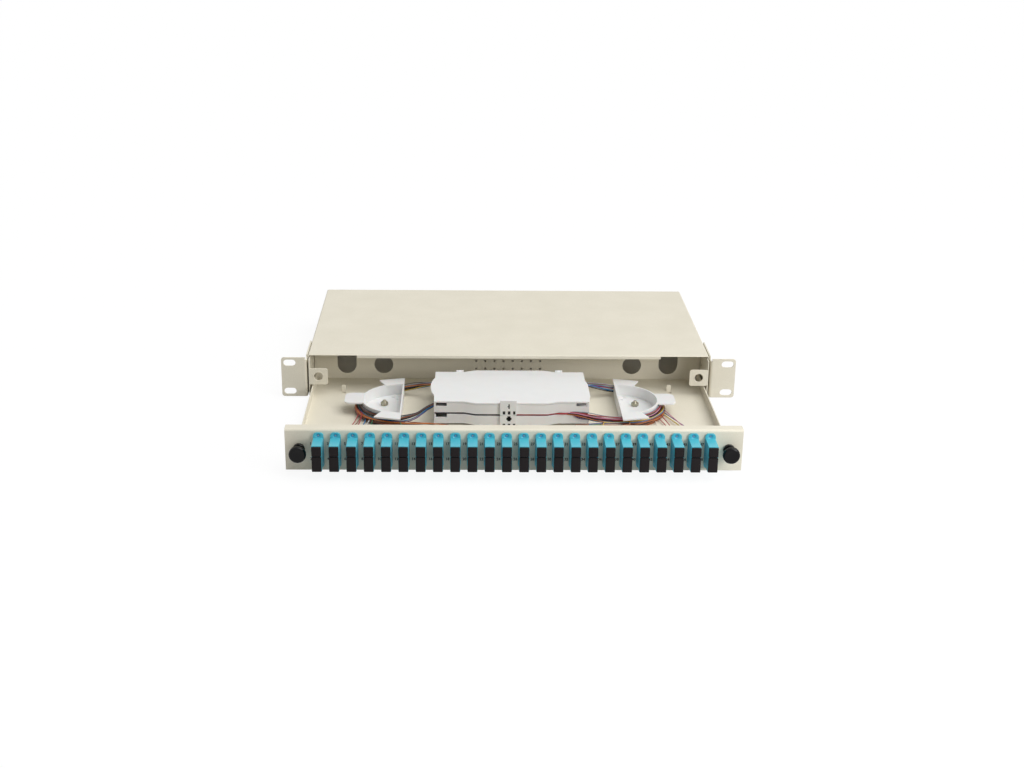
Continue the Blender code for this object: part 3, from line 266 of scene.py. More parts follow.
# %% Fibre jackets
JACKET_COLOURS = {
    "blue": "#2E7FB8", "orange": "#C77439", "green": "#3E8F63", "brown": "#834C33",
    "slate": "#8A8F98", "white": "#E6E4DE", "red": "#B0303A", "black": "#2A2528",
    "yellow": "#D9B93B", "violet": "#6C5590", "rose": "#D58FA8", "aqua": "#6FC3C0",
}
JACKET_DRIFT = 9 * MM
JACKET_SHADE = 0.72


def fibre_jacket(name, code):
    material, tree, place = start_material(f"jacket_{name}")
    drift = noise(tree, place, JACKET_DRIFT, 1.0)
    shade = tuple(channel * JACKET_SHADE for channel in linear(code)[:3]) + (1.0,)
    close_material(tree, {
        "Base Color": blend(tree, drift, shade, linear(code)), "Roughness": 0.36, "IOR": 1.52})
    return material


jackets = {name: fibre_jacket(name, code) for name, code in JACKET_COLOURS.items()}
print(len(jackets), "jacket colours")

# %% [markdown]
# ## Helpers for meshes
# A finished piece keeps its object at the origin, with its place in its mesh. These helpers make such an
# object, spin a profile, bevel sharp edges, and turn an evaluated object into a plain mesh.

# %% Mesh helpers


def new_object(name, mesh, *materials):
    for material in materials:
        mesh.materials.append(material)
    item = bpy.data.objects.new(name, mesh)
    bpy.context.scene.collection.objects.link(item)
    return item


def mesh_from(bm, name, smooth_angle=35):
    bmesh.ops.recalc_face_normals(bm, faces=bm.faces)
    mesh = bpy.data.meshes.new(name)
    bm.to_mesh(mesh)
    bm.free()
    mesh.shade_smooth()
    mesh.set_sharp_from_angle(angle=math.radians(smooth_angle))
    return mesh


def plain_mesh(item, name):
    depsgraph = bpy.context.evaluated_depsgraph_get()
    mesh = bpy.data.meshes.new_from_object(item.evaluated_get(depsgraph))
    mesh.name = name
    return mesh


def bake_modifiers(item):
    mesh = plain_mesh(item, item.name)
    item.modifiers.clear()
    old = item.data
    item.data = mesh
    bpy.data.meshes.remove(old)
    return item


def remove_object(item):
    mesh = item.data
    bpy.data.objects.remove(item, do_unlink=True)
    bpy.data.meshes.remove(mesh)


def cut_with(item, bm, name):
    tool = new_object(name, mesh_from(bm, name))
    step = item.modifiers.new("cut", "BOOLEAN")
    step.object = tool
    step.solver = "EXACT"
    step.use_self = True
    bake_modifiers(item)
    remove_object(tool)
    return item


def bevelled(item, width, segments=2, angle=35):
    bevel = item.modifiers.new("soft_edges", "BEVEL")
    bevel.width = width
    bevel.segments = segments
    bevel.limit_method = "ANGLE"
    bevel.angle_limit = math.radians(angle)
    weigh = item.modifiers.new("flat_faces", "WEIGHTED_NORMAL")
    weigh.keep_sharp = True
    return bake_modifiers(item)


def settle(item, body, slot, *replaced):
    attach(item, body)
    if replaced:
        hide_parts(*replaced)
    return item


def box_middle(node_name):
    low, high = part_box(node_name)
    return (Vector(low) + Vector(high)) / 2


def box_into(bm, low, high):
    result = bmesh.ops.create_cube(bm, size=1.0)
    size = Vector(high) - Vector(low)
    centre = (Vector(high) + Vector(low)) / 2
    for vert in result["verts"]:
        vert.co = Vector([centre[k] + vert.co[k] * size[k] for k in range(3)])


def lathe_into(bm, profile, centre, segments, direction=(0, 1, 0)):
    # The profile is (radius, distance along the direction), from axis to axis
    direction = Vector(direction).normalized()
    across = direction.orthogonal().normalized()
    verts = [bm.verts.new(Vector(centre) + direction * along + across * radius) for radius, along in profile]
    edges = [bm.edges.new(pair) for pair in zip(verts, verts[1:])]
    bmesh.ops.spin(bm, geom=verts + edges, cent=centre, axis=direction, angle=2 * math.pi,
                   steps=segments, use_merge=True)
    bmesh.ops.remove_doubles(bm, verts=bm.verts, dist=1e-7)


# %% [markdown]
# ## Painted steel
# The folded sheets are right as they are in the CAD. A merged copy of each gets smooth shading over its
# bends and a narrow bevel, because a coated edge is never quite sharp and catches a line of light.

# %% Clean copies of CAD pieces
SAME_PLACE = 0.002 * MM
FLAT_ANGLE = 0.5


def finish_copy(node_name, name, material, edge, body, slot, angle=35, reshape=None):
    bm = bmesh.new()
    bm.from_mesh(nodes[node_name].data)
    bmesh.ops.remove_doubles(bm, verts=bm.verts, dist=SAME_PLACE)
    if reshape:
        reshape(bm)
    bm.normal_update()
    bmesh.ops.dissolve_limit(bm, angle_limit=math.radians(FLAT_ANGLE), verts=bm.verts, edges=bm.edges)
    mesh = bpy.data.meshes.new(name)
    bm.to_mesh(mesh)
    bm.free()
    mesh.shade_smooth()
    mesh.set_sharp_from_angle(angle=math.radians(angle))
    copy = bevelled(new_object(name, mesh, material), edge, 2, angle)
    return settle(copy, body, slot, node_name)


PAINTED = {
    "housing_base": "housing", "housing_cover": "housing", "rack_ear_left": "housing",
    "rack_ear_right": "housing", "drawer_tray": "drawer", "drawer_rear_wall": "drawer",
    "front_panel": "drawer",
}
COAT_EDGE = 0.18 * MM
LIP_LEAN = 1.2 * MM
LIP_EDGE = 0.6 * MM
LIP_DEPTH = 3 * MM


def lean_lip(bm):
    # The cover's front lip is rolled, so its face leans back and catches the light from above
    (_, front, _), (_, _, top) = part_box("housing_cover")
    lip_half_width = max(abs(vert.co.x) for vert in bm.verts
                         if vert.co.y < front + LIP_EDGE and vert.co.z < top - LIP_DEPTH)
    for vert in bm.verts:
        on_edge = vert.co.y < front + LIP_EDGE and vert.co.z > top - LIP_EDGE
        if on_edge and abs(vert.co.x) <= lip_half_width + 0.1 * MM:
            vert.co.y += LIP_LEAN


for node_name, body in PAINTED.items():
    reshape = lean_lip if node_name == "housing_cover" else None
    finish_copy(node_name, f"{node_name}_painted", paint, COAT_EDGE, body, "powder_coat", reshape=reshape)
print(len(PAINTED), "painted pieces")

# %% Rings pressed round the latch holes
RING_INNER = 4.7 * MM
RING_OUTER = 5.9 * MM
RING_PROUD = 0.35 * MM
RING_SUNK = 0.05 * MM
RING_PROFILE = [(RING_INNER, RING_SUNK), (RING_INNER, -RING_PROUD / 2),
                ((RING_INNER + RING_OUTER) / 2, -RING_PROUD), (RING_OUTER, -RING_PROUD / 2),
                (RING_OUTER, RING_SUNK), (RING_INNER, RING_SUNK)]
tab_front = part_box("housing_base")[0][1]
for name in SIDES:
    hole = box_middle(f"latch_grommet_{name}")
    bm = bmesh.new()
    lathe_into(bm, RING_PROFILE, (hole.x, tab_front, hole.z), 40)
    settle(new_object(f"latch_ring_{name}", mesh_from(bm, "latch_ring", 50), paint), "housing", "powder_coat")
print(len(SIDES), "rings")

# %% [markdown]
# ## Moulded trays, guides and lid
# The splice trays and the half-moon guides are thin white mouldings. Their edges are rounder than painted
# steel, about a third of a millimetre, and that is what makes them read as plastic.

# %% White mouldings
MOULD_EDGE = 0.3 * MM
WHITE = {
    "splice_tray_lower": "drawer", "splice_tray_upper": "drawer", "splice_lid": "lid",
    "fibre_guide_left": "drawer", "fibre_guide_right": "drawer",
}
for node_name, body in WHITE.items():
    finish_copy(node_name, f"{node_name}_moulded", white_abs, MOULD_EDGE, body, "white_abs", 40)
print(len(WHITE), "white mouldings")

# %% Clip plates
# Thin plates clip the trays and the lid together in front. Each has its low z, its high z and its slots as
# (low x, high x, low z, high z), all in millimetres. A dark sheet deep in each slot is painted shadow, the
# shade inside the slot
CLIP_X = (-11.9, 4.7)
CLIP_PLATES = {
    "upper": (16.2, 31.6, [(-3.5, -2.2, 22.9, 27.9), (-4.4, -2.2, 24.6, 25.8), (-9.2, -6.6, 16.7, 20.3),
                           (-4.0, -1.4, 16.7, 20.3), (1.2, 3.6, 16.7, 20.3)]),
    "lower": (3.6, 15.7, [(-5.4, -0.2, 10.7, 13.4), (-4.4, -1.2, 9.4, 15.0), (-9.2, -6.6, 4.4, 6.9),
                          (-4.0, -1.4, 4.4, 6.9), (1.2, 3.6, 4.4, 6.9)]),
}
CLIP_SHEET = 0.7 * MM
CLIP_SEAT = 0.03 * MM
CLIP_EDGE = 0.15 * MM
SLOT_SHADOW_DEPTH = 0.15 * MM


def front_boxes(places, low_y, high_y):
    bm = bmesh.new()
    for low_x, high_x, low_z, high_z in places:
        box_into(bm, (low_x * MM, low_y, low_z * MM), (high_x * MM, high_y, high_z * MM))
    return bm


for level, (low_z, high_z, slots) in CLIP_PLATES.items():
    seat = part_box(f"splice_tray_{level}")[0][1] - CLIP_SEAT
    face = seat - CLIP_SHEET
    sheet = front_boxes([(*CLIP_X, low_z, high_z)], face, seat)
    plate = new_object(f"tray_clip_{level}", mesh_from(sheet, "tray_clip"), white_abs)
    cut_with(plate, front_boxes(slots, face - MM, seat + MM), "clip_slots")
    settle(bevelled(plate, CLIP_EDGE), "drawer", "white_abs")
    # Painted shadow: a black sheet set deep in each slot darkens it as shade would
    slot_shadow = mesh_from(front_boxes(slots, seat - SLOT_SHADOW_DEPTH, seat - CLIP_SEAT), "hooks")
    settle(new_object(f"tray_clip_{level}_hooks", slot_shadow, boot_rubber_and_slot_shade), "drawer", "black_nylon")
    print("Clip plate", level, "with", len(slots), "slots")

# %% [markdown]
# ## Rows made by Geometry Nodes
# Twenty-four adapters repeat at one pitch, so one tree places them: a line of points, the piece on each
# point, real geometry out of the instances, and a material. The count, first place and step are inputs.

# %% Trees for rows and points


def start_tree(name, inputs):
    tree = bpy.data.node_groups.new(name, "GeometryNodeTree")
    for label, kind in {"Geometry": "Geometry", **inputs, "Piece": "Object", "Finish": "Material"}.items():
        tree.interface.new_socket(label, in_out="INPUT", socket_type=f"NodeSocket{kind}")
    tree.interface.new_socket("Geometry", in_out="OUTPUT", socket_type="NodeSocketGeometry")
    return tree, add_node(tree, "NodeGroupInput").outputs


def close_tree(tree, source, places):
    piece = add_node(tree, "GeometryNodeObjectInfo", {"Object": source["Piece"]})
    copies = add_node(tree, "GeometryNodeInstanceOnPoints", {"Instance": piece.outputs["Geometry"], **places})
    real = add_node(tree, "GeometryNodeRealizeInstances", {"Geometry": copies.outputs["Instances"]})
    painted = add_node(tree, "GeometryNodeSetMaterial", {
        "Geometry": real.outputs["Geometry"], "Material": source["Finish"]})
    add_node(tree, "NodeGroupOutput", {"Geometry": painted.outputs["Geometry"]})
    return tree


def row_tree():
    tree, source = start_tree("row_of_pieces", {"Count": "Int", "First place": "Vector", "Step": "Vector"})
    places = {"Count": source["Count"], "Start Location": source["First place"], "Offset": source["Step"]}
    line = add_node(tree, "GeometryNodeMeshLine", places, mode="OFFSET")
    return close_tree(tree, source, {"Points": line.outputs["Mesh"]})


def scatter_tree():
    tree, source = start_tree("pieces_on_points", {"Turn": "Vector"})
    turn = add_node(tree, "FunctionNodeEulerToRotation", {"Euler": source["Turn"]})
    return close_tree(tree, source, {"Points": source["Geometry"], "Rotation": turn.outputs["Rotation"]})


def grown_by(tree, name, base_mesh, piece, values):
    item = new_object(name, base_mesh)
    modifier = item.modifiers.new("layout", "NODES")
    modifier.node_group = tree
    sockets = {socket.name: socket.identifier for socket in tree.interface.items_tree
               if socket.in_out == "INPUT"}
    for label, value in {"Piece": piece, **values}.items():
        modifier[sockets[label]] = value
    bake_modifiers(item)
    remove_object(piece)
    return item


ROW_TREE = row_tree()
SCATTER_TREE = scatter_tree()
print("Trees:", ROW_TREE.name, "and", SCATTER_TREE.name)

# %% [markdown]
# ## Adapters
# A duplex adapter is a thin-walled aqua block with two ports above each other. Its flange is clamped
# against the panel and ends in round lugs with a countersunk hole. The body, the lugs and the rims of the
# holes are built once, around the adapter's own centre, and then repeated.

# %% Measure the adapters
PORT_PAIRS = 24
adapter_names = [f"adapter_{number:02d}" for number in range(1, PORT_PAIRS + 1)]
first_centre = box_middle(adapter_names[0])
PORT_STEP = (box_middle(adapter_names[-1]) - first_centre) / (PORT_PAIRS - 1)
PANEL_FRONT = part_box("front_panel")[0][1]
PORT_FIRST = Vector((first_centre.x, PANEL_FRONT, first_centre.z))


def on_adapters(name, piece, material, slot, *replaced):
    row = grown_by(ROW_TREE, name, bpy.data.meshes.new(name), piece, {
        "Count": PORT_PAIRS, "First place": PORT_FIRST, "Step": PORT_STEP, "Finish": material})
    return settle(row, "drawer", slot, *replaced)


print("Adapters", round(PORT_STEP.x / MM, 2), "mm apart, centre height", round(first_centre.z / MM, 2), "mm")

# %% Adapter bodies
BODY_HALF_WIDTH = 4.65 * MM
BODY_HALF_HEIGHT = 12.75 * MM
BODY_CORNER = 0.5 * MM
BODY_FRONT = 22.1 * MM
BODY_REAR = 12.2 * MM
BODY_EDGE = 0.2 * MM
FLANGE_SEAT = 0.3 * MM
FLANGE_THICK = 1.8 * MM
FLANGE_FRONT = -FLANGE_SEAT - FLANGE_THICK
FLANGE_HALF_WIDTH = 4.95 * MM
FLANGE_HALF_HEIGHT = 17.6 * MM
LUG_CORNER = 3.3 * MM
LUG_HOLE = 1.15 * MM
LUG_SINK = 2.5 * MM
LUG_HOLE_HEIGHT = 14.9 * MM
SINK_PROFILE = [(0, -0.3 * MM), (LUG_SINK, -0.3 * MM), (LUG_SINK, 0.1 * MM), (LUG_HOLE, 0.9 * MM),
                (LUG_HOLE, 2.5 * MM), (0, 2.5 * MM)]
PORT_SPACING = 12.7 * MM
PORT_HALF_WIDTH = 3.9 * MM
PORT_HALF_HEIGHT = 5.3 * MM
PORT_DEPTH = 3 * MM
RIB_INNER = 8.3 * MM
RIB_OUTER = 9.5 * MM
RIB_FRONT = -14 * MM
RIB_PROUD = 0.15 * MM


def rounded_outline(half_width, half_height, corner, steps=6):
    points = []
    for sign_x, sign_z, start in ((1, -1, -90), (1, 1, 0), (-1, 1, 90), (-1, -1, 180)):
        centre_x = sign_x * (half_width - corner)
        centre_z = sign_z * (half_height - corner)
        for step in range(steps + 1):
            angle = math.radians(start + 90 * step / steps)
            points.append((centre_x + corner * math.cos(angle), centre_z + corner * math.sin(angle)))
    return points


def plate_mesh(outline, low_y, high_y, name):
    bm = bmesh.new()
    front = [bm.verts.new((x, low_y, z)) for x, z in outline]
    face = bm.faces.new(front)
    grown = bmesh.ops.extrude_face_region(bm, geom=[face])
    rear = [part for part in grown["geom"] if isinstance(part, bmesh.types.BMVert)]
    bmesh.ops.translate(bm, verts=rear, vec=(0, high_y - low_y, 0))
    return mesh_from(bm, name)


def joined(name, *items):
    bm = bmesh.new()
    for item in items:
        bm.from_mesh(item.data)
    mesh = mesh_from(bm, name)
    for item in items:
        remove_object(item)
    return new_object(name, mesh)


def turned_in_lugs(profile, segments):
    bm = bmesh.new()
    for up in (-1, 1):
        lathe_into(bm, profile, (0, FLANGE_FRONT, up * LUG_HOLE_HEIGHT), segments)
    return bm


def adapter_body():
    outline = rounded_outline(FLANGE_HALF_WIDTH, FLANGE_HALF_HEIGHT, LUG_CORNER)
    flange = new_object("flange", plate_mesh(outline, FLANGE_FRONT, -FLANGE_SEAT, "flange"))
    cut_with(flange, turned_in_lugs(SINK_PROFILE, 20), "lug_holes")
    outline = rounded_outline(BODY_HALF_WIDTH, BODY_HALF_HEIGHT, BODY_CORNER, 2)
    block = new_object("block", plate_mesh(outline, -BODY_FRONT, BODY_REAR, "block"))
    ports = bmesh.new()
    for up in (-1, 1):
        middle = up * PORT_SPACING / 2
        box_into(ports, (-PORT_HALF_WIDTH, -BODY_FRONT - MM, middle - PORT_HALF_HEIGHT),
                 (PORT_HALF_WIDTH, -BODY_FRONT + PORT_DEPTH, middle + PORT_HALF_HEIGHT))
    cut_with(block, ports, "port_mouths")
    ribs = bmesh.new()
    for side in (-1, 1):
        for low_z, high_z in ((-RIB_OUTER, -RIB_INNER), (RIB_INNER, RIB_OUTER)):
            box_into(ribs, (side * BODY_HALF_WIDTH - RIB_PROUD, RIB_FRONT, low_z),
                     (side * BODY_HALF_WIDTH + RIB_PROUD, -FLANGE_THICK, high_z))
    rib = new_object("ribs", mesh_from(ribs, "ribs"))
    return bevelled(joined("adapter_body", flange, block, rib), BODY_EDGE)


bodies = on_adapters("adapter_bodies", adapter_body(), aqua_pbt, "aqua_adapter", *adapter_names)
print("Adapter bodies:", len(bodies.data.polygons), "faces")

# %% Lug rims in painted sink shade, and rivets
SINK_SHADE_RIM = 2.45 * MM
RIVET_PIN = 0.65 * MM
RIM_PROFILE = [(0, 0.9 * MM), (LUG_HOLE - 0.05 * MM, 0.9 * MM), (SINK_SHADE_RIM, 0.18 * MM),
               (SINK_SHADE_RIM + 0.1 * MM, 0.3 * MM), (LUG_HOLE, 1.2 * MM), (LUG_HOLE - 0.1 * MM, 2.0 * MM),
               (0, 2.0 * MM)]
PIN_PROFILE = [(0, 0.15 * MM), (RIVET_PIN * 0.7, 0.22 * MM), (RIVET_PIN, 0.45 * MM),
               (RIVET_PIN, 1.0 * MM), (0, 1.0 * MM)]
# The rims carry the blue painted shade of the countersinks; the rivets are plated metal
for name, profile, material, slot in (("lug_eyelets", RIM_PROFILE, sink_shade_blue, "aqua_adapter"),
                                      ("lug_rivets", PIN_PROFILE, zinc, "zinc_steel")):
    pair = new_object("eyelets", mesh_from(turned_in_lugs(profile, 18), "eyelets"))
    on_adapters(name, pair, material, slot)
print("Lug_rims_and_rivets:", 2 * PORT_PAIRS)

# %% [markdown]
# ## Dust caps
# Soft black caps close each pair of ports. They are square blocks with rounded edges, and a narrow line
# parts the upper one from the lower one, a little above the middle.

# %% Dust caps
CAP_HALF_WIDTH = 4.45 * MM
CAP_TOP = 12.25 * MM
CAP_SPLIT = 2.7 * MM
CAP_GAP = 0.8 * MM
CAP_PROUD = 2.2 * MM
CAP_CORNER = 0.6 * MM
CAP_EDGE = 0.35 * MM
PLAY = 0.05 * MM


def moulded_block(middle, half_width, half_height, corner, low_y, high_y):
    outline = [(x, z + middle) for x, z in rounded_outline(half_width, half_height, corner, 3)]
    return new_object("block", plate_mesh(outline, low_y, high_y, "block"))


def dust_cap_pair():
    parts = []
    for low, high in ((-CAP_TOP, CAP_SPLIT - CAP_GAP / 2), (CAP_SPLIT + CAP_GAP / 2, CAP_TOP)):
        cap = moulded_block((low + high) / 2, CAP_HALF_WIDTH, (high - low) / 2, CAP_CORNER,
                            -BODY_FRONT - CAP_PROUD, -BODY_FRONT - PLAY)
        parts.append(bevelled(cap, CAP_EDGE, 3))
    return joined("dust_cap_pair", *parts)


on_adapters("dust_caps", dust_cap_pair(), cap_vinyl, "black_nylon")
print("Dust caps:", 2 * PORT_PAIRS)

# %% [markdown]
# ## Pigtail plugs
# Behind the panel each port holds a push-pull plug with a tapered boot, from which the fibre leaves.

# %% Plugs and boots
PLUG_HALF_WIDTH = 3.7 * MM
PLUG_HALF_HEIGHT = 4.5 * MM
PLUG_CORNER = 0.8 * MM
PLUG_EDGE = 0.3 * MM
PLUG_LENGTH = 12.0 * MM
BOOT_LENGTH = 13.0 * MM
BOOT_RIDGES = 4
# One ridge of a boot: (change of radius, distance along) in millimetres
BOOT_RIDGE = [(0.0, 0.0), (-0.3, 0.5), (-0.3, 1.4), (-0.1, 1.9)]


def plug_pair():
    parts = []
    for up in (-1, 1):
        plug = moulded_block(up * PORT_SPACING / 2, PLUG_HALF_WIDTH, PLUG_HALF_HEIGHT, PLUG_CORNER,
                             BODY_REAR + PLAY, BODY_REAR + PLUG_LENGTH)
        parts.append(bevelled(plug, PLUG_EDGE))
    return joined("plug_pair", *parts)


def boot_pair():
    profile = [(0, 0), (2.2 * MM, 0)]
    for ridge in range(BOOT_RIDGES):
        along = BOOT_LENGTH * (0.15 + 0.18 * ridge)
        radius = 2.15 * MM - 0.22 * MM * ridge
        profile += [(radius + change * MM, along + on * MM) for change, on in BOOT_RIDGE]
    profile += [(1.1 * MM, BOOT_LENGTH), (0, BOOT_LENGTH)]
    bm = bmesh.new()
    for up in (-1, 1):
        lathe_into(bm, profile, (0, BODY_REAR + PLUG_LENGTH, up * PORT_SPACING / 2), 12)
    return new_object("boot_pair", mesh_from(bm, "boot_pair"))


on_adapters("pigtail_plugs", plug_pair(), plug_plastic, "aqua_adapter")
on_adapters("pigtail_boots", boot_pair(), boot_rubber_and_slot_shade, "black_nylon")
BOOT_TIP_Y = PANEL_FRONT + BODY_REAR + PLUG_LENGTH + BOOT_LENGTH
print("Boot tips at", round(BOOT_TIP_Y / MM, 1), "mm")

# %% [markdown]
# ## Port numbers
# Plain numbers run from 1 to 48. The odd ones stand beside the upper ports and the even ones beside the
# lower ports. Each is a text object, turned to face the front and made into a mesh a few hundredths of a
# millimetre thick.

# %% Port numbers
NUMBER_HEIGHT = 3.7 * MM
NUMBER_BOLD = 0.12 * MM
NUMBER_SHIFT = -7.45 * MM
NUMBER_RISE = {0: 5.9 * MM, 1: -9.6 * MM}
NUMBER_THICK = 0.02 * MM


def number_mesh(text, x, z):
    curve = bpy.data.curves.new("number", "FONT")
    curve.body = text
    curve.size = NUMBER_HEIGHT
    curve.extrude = NUMBER_THICK
    curve.offset = NUMBER_BOLD
    curve.align_x = "CENTER"
    curve.align_y = "CENTER"
    curve.resolution_u = 3
    item = bpy.data.objects.new("number", curve)
    bpy.context.scene.collection.objects.link(item)
    mesh = plain_mesh(item, "number")
    bpy.data.objects.remove(item, do_unlink=True)
    upright = Matrix.Rotation(math.radians(90), 4, "X")
    mesh.transform(Matrix.Translation((x, PANEL_FRONT - 2 * NUMBER_THICK, z)) @ upright)
    return mesh


bm = bmesh.new()
for port in range(2 * PORT_PAIRS):
    x = PORT_FIRST.x + PORT_STEP.x * (port // 2) + NUMBER_SHIFT
    printed = number_mesh(str(port + 1), x, PORT_FIRST.z + NUMBER_RISE[port % 2])
    bm.from_mesh(printed)
    bpy.data.meshes.remove(printed)
numbers = new_object("port_numbers", mesh_from(bm, "port_numbers"), ink)
settle(numbers, "drawer", "black_nylon")
print("Numbers printed:", 2 * PORT_PAIRS)

# %% [markdown]
# ## Latch knobs
# Each knob is a turned shape, so a profile is spun about the knob's axis. The stepped head is polished
# nylon with a dished face, and a stem carries it. The collar behind it is a clean copy of the CAD's.

# %% Latch knobs
HEAD_LENGTH = 7.2 * MM
HEAD_ROUND = 2.2 * MM
COLLAR_EDGE = 0.12 * MM
# The dish: (share of the head's radius, depth in millimetres)
HEAD_DISH = [(0, 1.1), (0.35, 0.85), (0.62, 0.2)]
# The steps behind the head: (radius, distance from the head's rear) in millimetres
HEAD_STEPS = [(5.6, -2.0), (5.0, -1.6), (5.0, -0.2), (4.8, 0), (2.3, 0)]
STEM_RADIUS = 2.3 * MM
STEM_TIP = 0.8 * MM


def round_edge(radius, along, size, steps=6):
    # A quarter round on a profile's corner, from the flat face to the outside
    points = []
    for step in range(steps + 1):
        angle = math.radians(90 * step / steps)
        points.append((radius - size + size * math.sin(angle), along + size * (1 - math.cos(angle))))
    return points


def latch_knob(name):
    low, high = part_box(f"latch_plunger_{name}")
    middle = box_middle(f"latch_plunger_{name}")
    radius = (high[0] - low[0]) / 2
    front = low[1]
    rear = front + HEAD_LENGTH
    profile = [(radius * share, front + depth * MM) for share, depth in HEAD_DISH]
    profile += round_edge(radius, front, HEAD_ROUND)
    profile += [(radius, rear - 3.0 * MM), (radius - 0.5 * MM, rear - 2.4 * MM)]
    profile += [(step * MM, rear + along * MM) for step, along in HEAD_STEPS]
    profile += [(STEM_RADIUS, high[1] - STEM_TIP), (0, high[1])]
    bm = bmesh.new()
    lathe_into(bm, profile, (middle.x, 0, middle.z), 56)
    knob = new_object(f"latch_knob_{name}", mesh_from(bm, "knob", 30), knob_nylon)
    settle(knob, f"{name}_latch", "black_nylon", f"latch_plunger_{name}")
    finish_copy(f"latch_grommet_{name}", f"latch_collar_{name}", knob_nylon, COLLAR_EDGE, "drawer",
                "black_nylon")
    print("Knob", name, "is", round(2 * radius / MM, 1), "mm wide")


for name in SIDES:
    latch_knob(name)

# %% [markdown]
# ## Screws, studs and nuts
# The side screws are pan heads with a cross recess. One screw is modelled standing on its seat, and a
# second tree puts it on every point, turned to face outwards on each side.

# %% Side screws
SCREW_HEAD = 3.3 * MM
SCREW_HEAD_HEIGHT = 1.6 * MM
SCREW_RIM = 0.5 * MM
SHANK_RADIUS = 1.5 * MM
SHANK_END = -3.2 * MM
RECESS_HALF_LENGTH = 1.7 * MM
RECESS_HALF_WIDTH = 0.35 * MM
RECESS_FLOOR = 0.7 * MM
DOME_STEPS = 6


def pan_head_screw():
    profile = [(0, SHANK_END), (SHANK_RADIUS, SHANK_END), (SHANK_RADIUS, 0), (SCREW_HEAD, 0),
               (SCREW_HEAD, SCREW_RIM)]
    for step in range(1, DOME_STEPS):
        angle = math.radians(90 * step / DOME_STEPS)
        profile.append((SCREW_HEAD * (0.35 + 0.65 * math.cos(angle)),
                        SCREW_RIM + (SCREW_HEAD_HEIGHT - SCREW_RIM) * math.sin(angle)))
    profile.append((0, SCREW_HEAD_HEIGHT))
    bm = bmesh.new()
    lathe_into(bm, profile, (0, 0, 0), 24, (0, 0, 1))
    screw = new_object("screw", mesh_from(bm, "screw"))
    cross = bmesh.new()
    for half_x, half_y in ((RECESS_HALF_LENGTH, RECESS_HALF_WIDTH), (RECESS_HALF_WIDTH, RECESS_HALF_LENGTH)):
        box_into(cross, (-half_x, -half_y, RECESS_FLOOR), (half_x, half_y, 2 * MM))
    return cut_with(screw, cross, "cross")


for name, side in SIDES.items():
    screw_names = [f"{kind}_screw_{name}_{number}" for kind in ("ear", "cover") for number in (1, 2)]
    seats = []
    for screw_name in screw_names:
        outer = max(side * corner[0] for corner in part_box(screw_name))
        middle = box_middle(screw_name)
        seats.append((side * (outer - SCREW_HEAD_HEIGHT), middle.y, middle.z))
    points = bpy.data.meshes.new("points")
    points.from_pydata(seats, [], [])
    screws = grown_by(SCATTER_TREE, f"side_screws_{name}", points, pan_head_screw(), {
        "Turn": (0, side * math.radians(90), 0), "Finish": zinc})
    settle(screws, "housing", "zinc_steel", *screw_names)
print("Side screws:", 2 * len(screw_names))

# %% Studs and nuts
THREAD_PITCH = 0.7 * MM
THREAD_DEPTH = 0.22 * MM
NUT_EDGE = 0.25 * MM


def threaded_stud(node_name):
    low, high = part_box(node_name)
    middle = box_middle(node_name)
    radius = (high[0] - low[0]) / 2
    root = radius - THREAD_DEPTH
    profile = [(0, low[2]), (root, low[2])]
    turns = int((high[2] - low[2] - 0.4 * MM) / THREAD_PITCH)
    for turn in range(turns):
        start = low[2] + turn * THREAD_PITCH
        profile += [(root, start + 0.1 * MM), (radius, start + THREAD_PITCH / 2)]
    profile += [(root, high[2] - 0.25 * MM), (root - 0.2 * MM, high[2]), (0, high[2])]
    bm = bmesh.new()
    lathe_into(bm, profile, (middle.x, middle.y, 0), 20, (0, 0, 1))
    stud = new_object(f"{node_name}_thread", mesh_from(bm, "stud", 25), zinc)
    settle(stud, "drawer", "zinc_steel", node_name)
    print(node_name, "has", turns, "turns of thread")


for node_name in ("splice_stud", "guide_stud_left", "guide_stud_right"):
    threaded_stud(node_name)
for node_name in ("stack_nut", "guide_nut_left", "guide_nut_right"):
    finish_copy(node_name, f"{node_name}_plated", zinc, NUT_EDGE, "drawer", "zinc_steel")

# %% [markdown]
# ## Fibre
# Loose fibres are what make the drawer look used. A bundle follows one smooth path, and each fibre in it
# keeps its own place across the bundle and wanders a little. The paths keep close to the CAD's tubes: a flat
# ribbon goes round each guide, and a trunk carries the pigtails to it.

# %% Routes
DRAWER_Y = -0.3130
GUIDE_CHORD_X = 0.1115
GUIDE_CENTRE_Y = DRAWER_Y + 0.1465
SPLICE_CENTRE_Y = DRAWER_Y + 0.1488
TRUNK_Z = 0.0062
FIBRE_RADIUS = 0.45 * MM
FIBRE_SIDES = 7
BUNDLE_RADIUS = 2.5 * MM


def arc_points(radius, start, end, steps):
    points = []
    for step in range(steps + 1):
        angle = math.radians(start + (end - start) * step / steps)
        points.append((GUIDE_CHORD_X + radius * math.cos(angle), GUIDE_CENTRE_Y + radius * math.sin(angle)))
    return points

# %% Tubes along a path


def smooth_path(points, spacing):
    route = [Vector(point) for point in points]
    padded = [route[0]] + route + [route[-1]]
    path = []
    for index in range(1, len(padded) - 2):
        before, start, end, after = padded[index - 1:index + 3]
        steps = max(1, round((end - start).length / spacing))
        for step in range(steps):
            t = step / steps
            bend = (2 * before - 5 * start + 4 * end - after) * t ** 2
            bend += (3 * start - before - 3 * end + after) * t ** 3
            path.append(0.5 * (2 * start + (end - before) * t + bend))
    path.append(route[-1])
    return path


def tangent_at(path, index):
    return (path[min(index + 1, len(path) - 1)] - path[max(index - 1, 0)]).normalized()


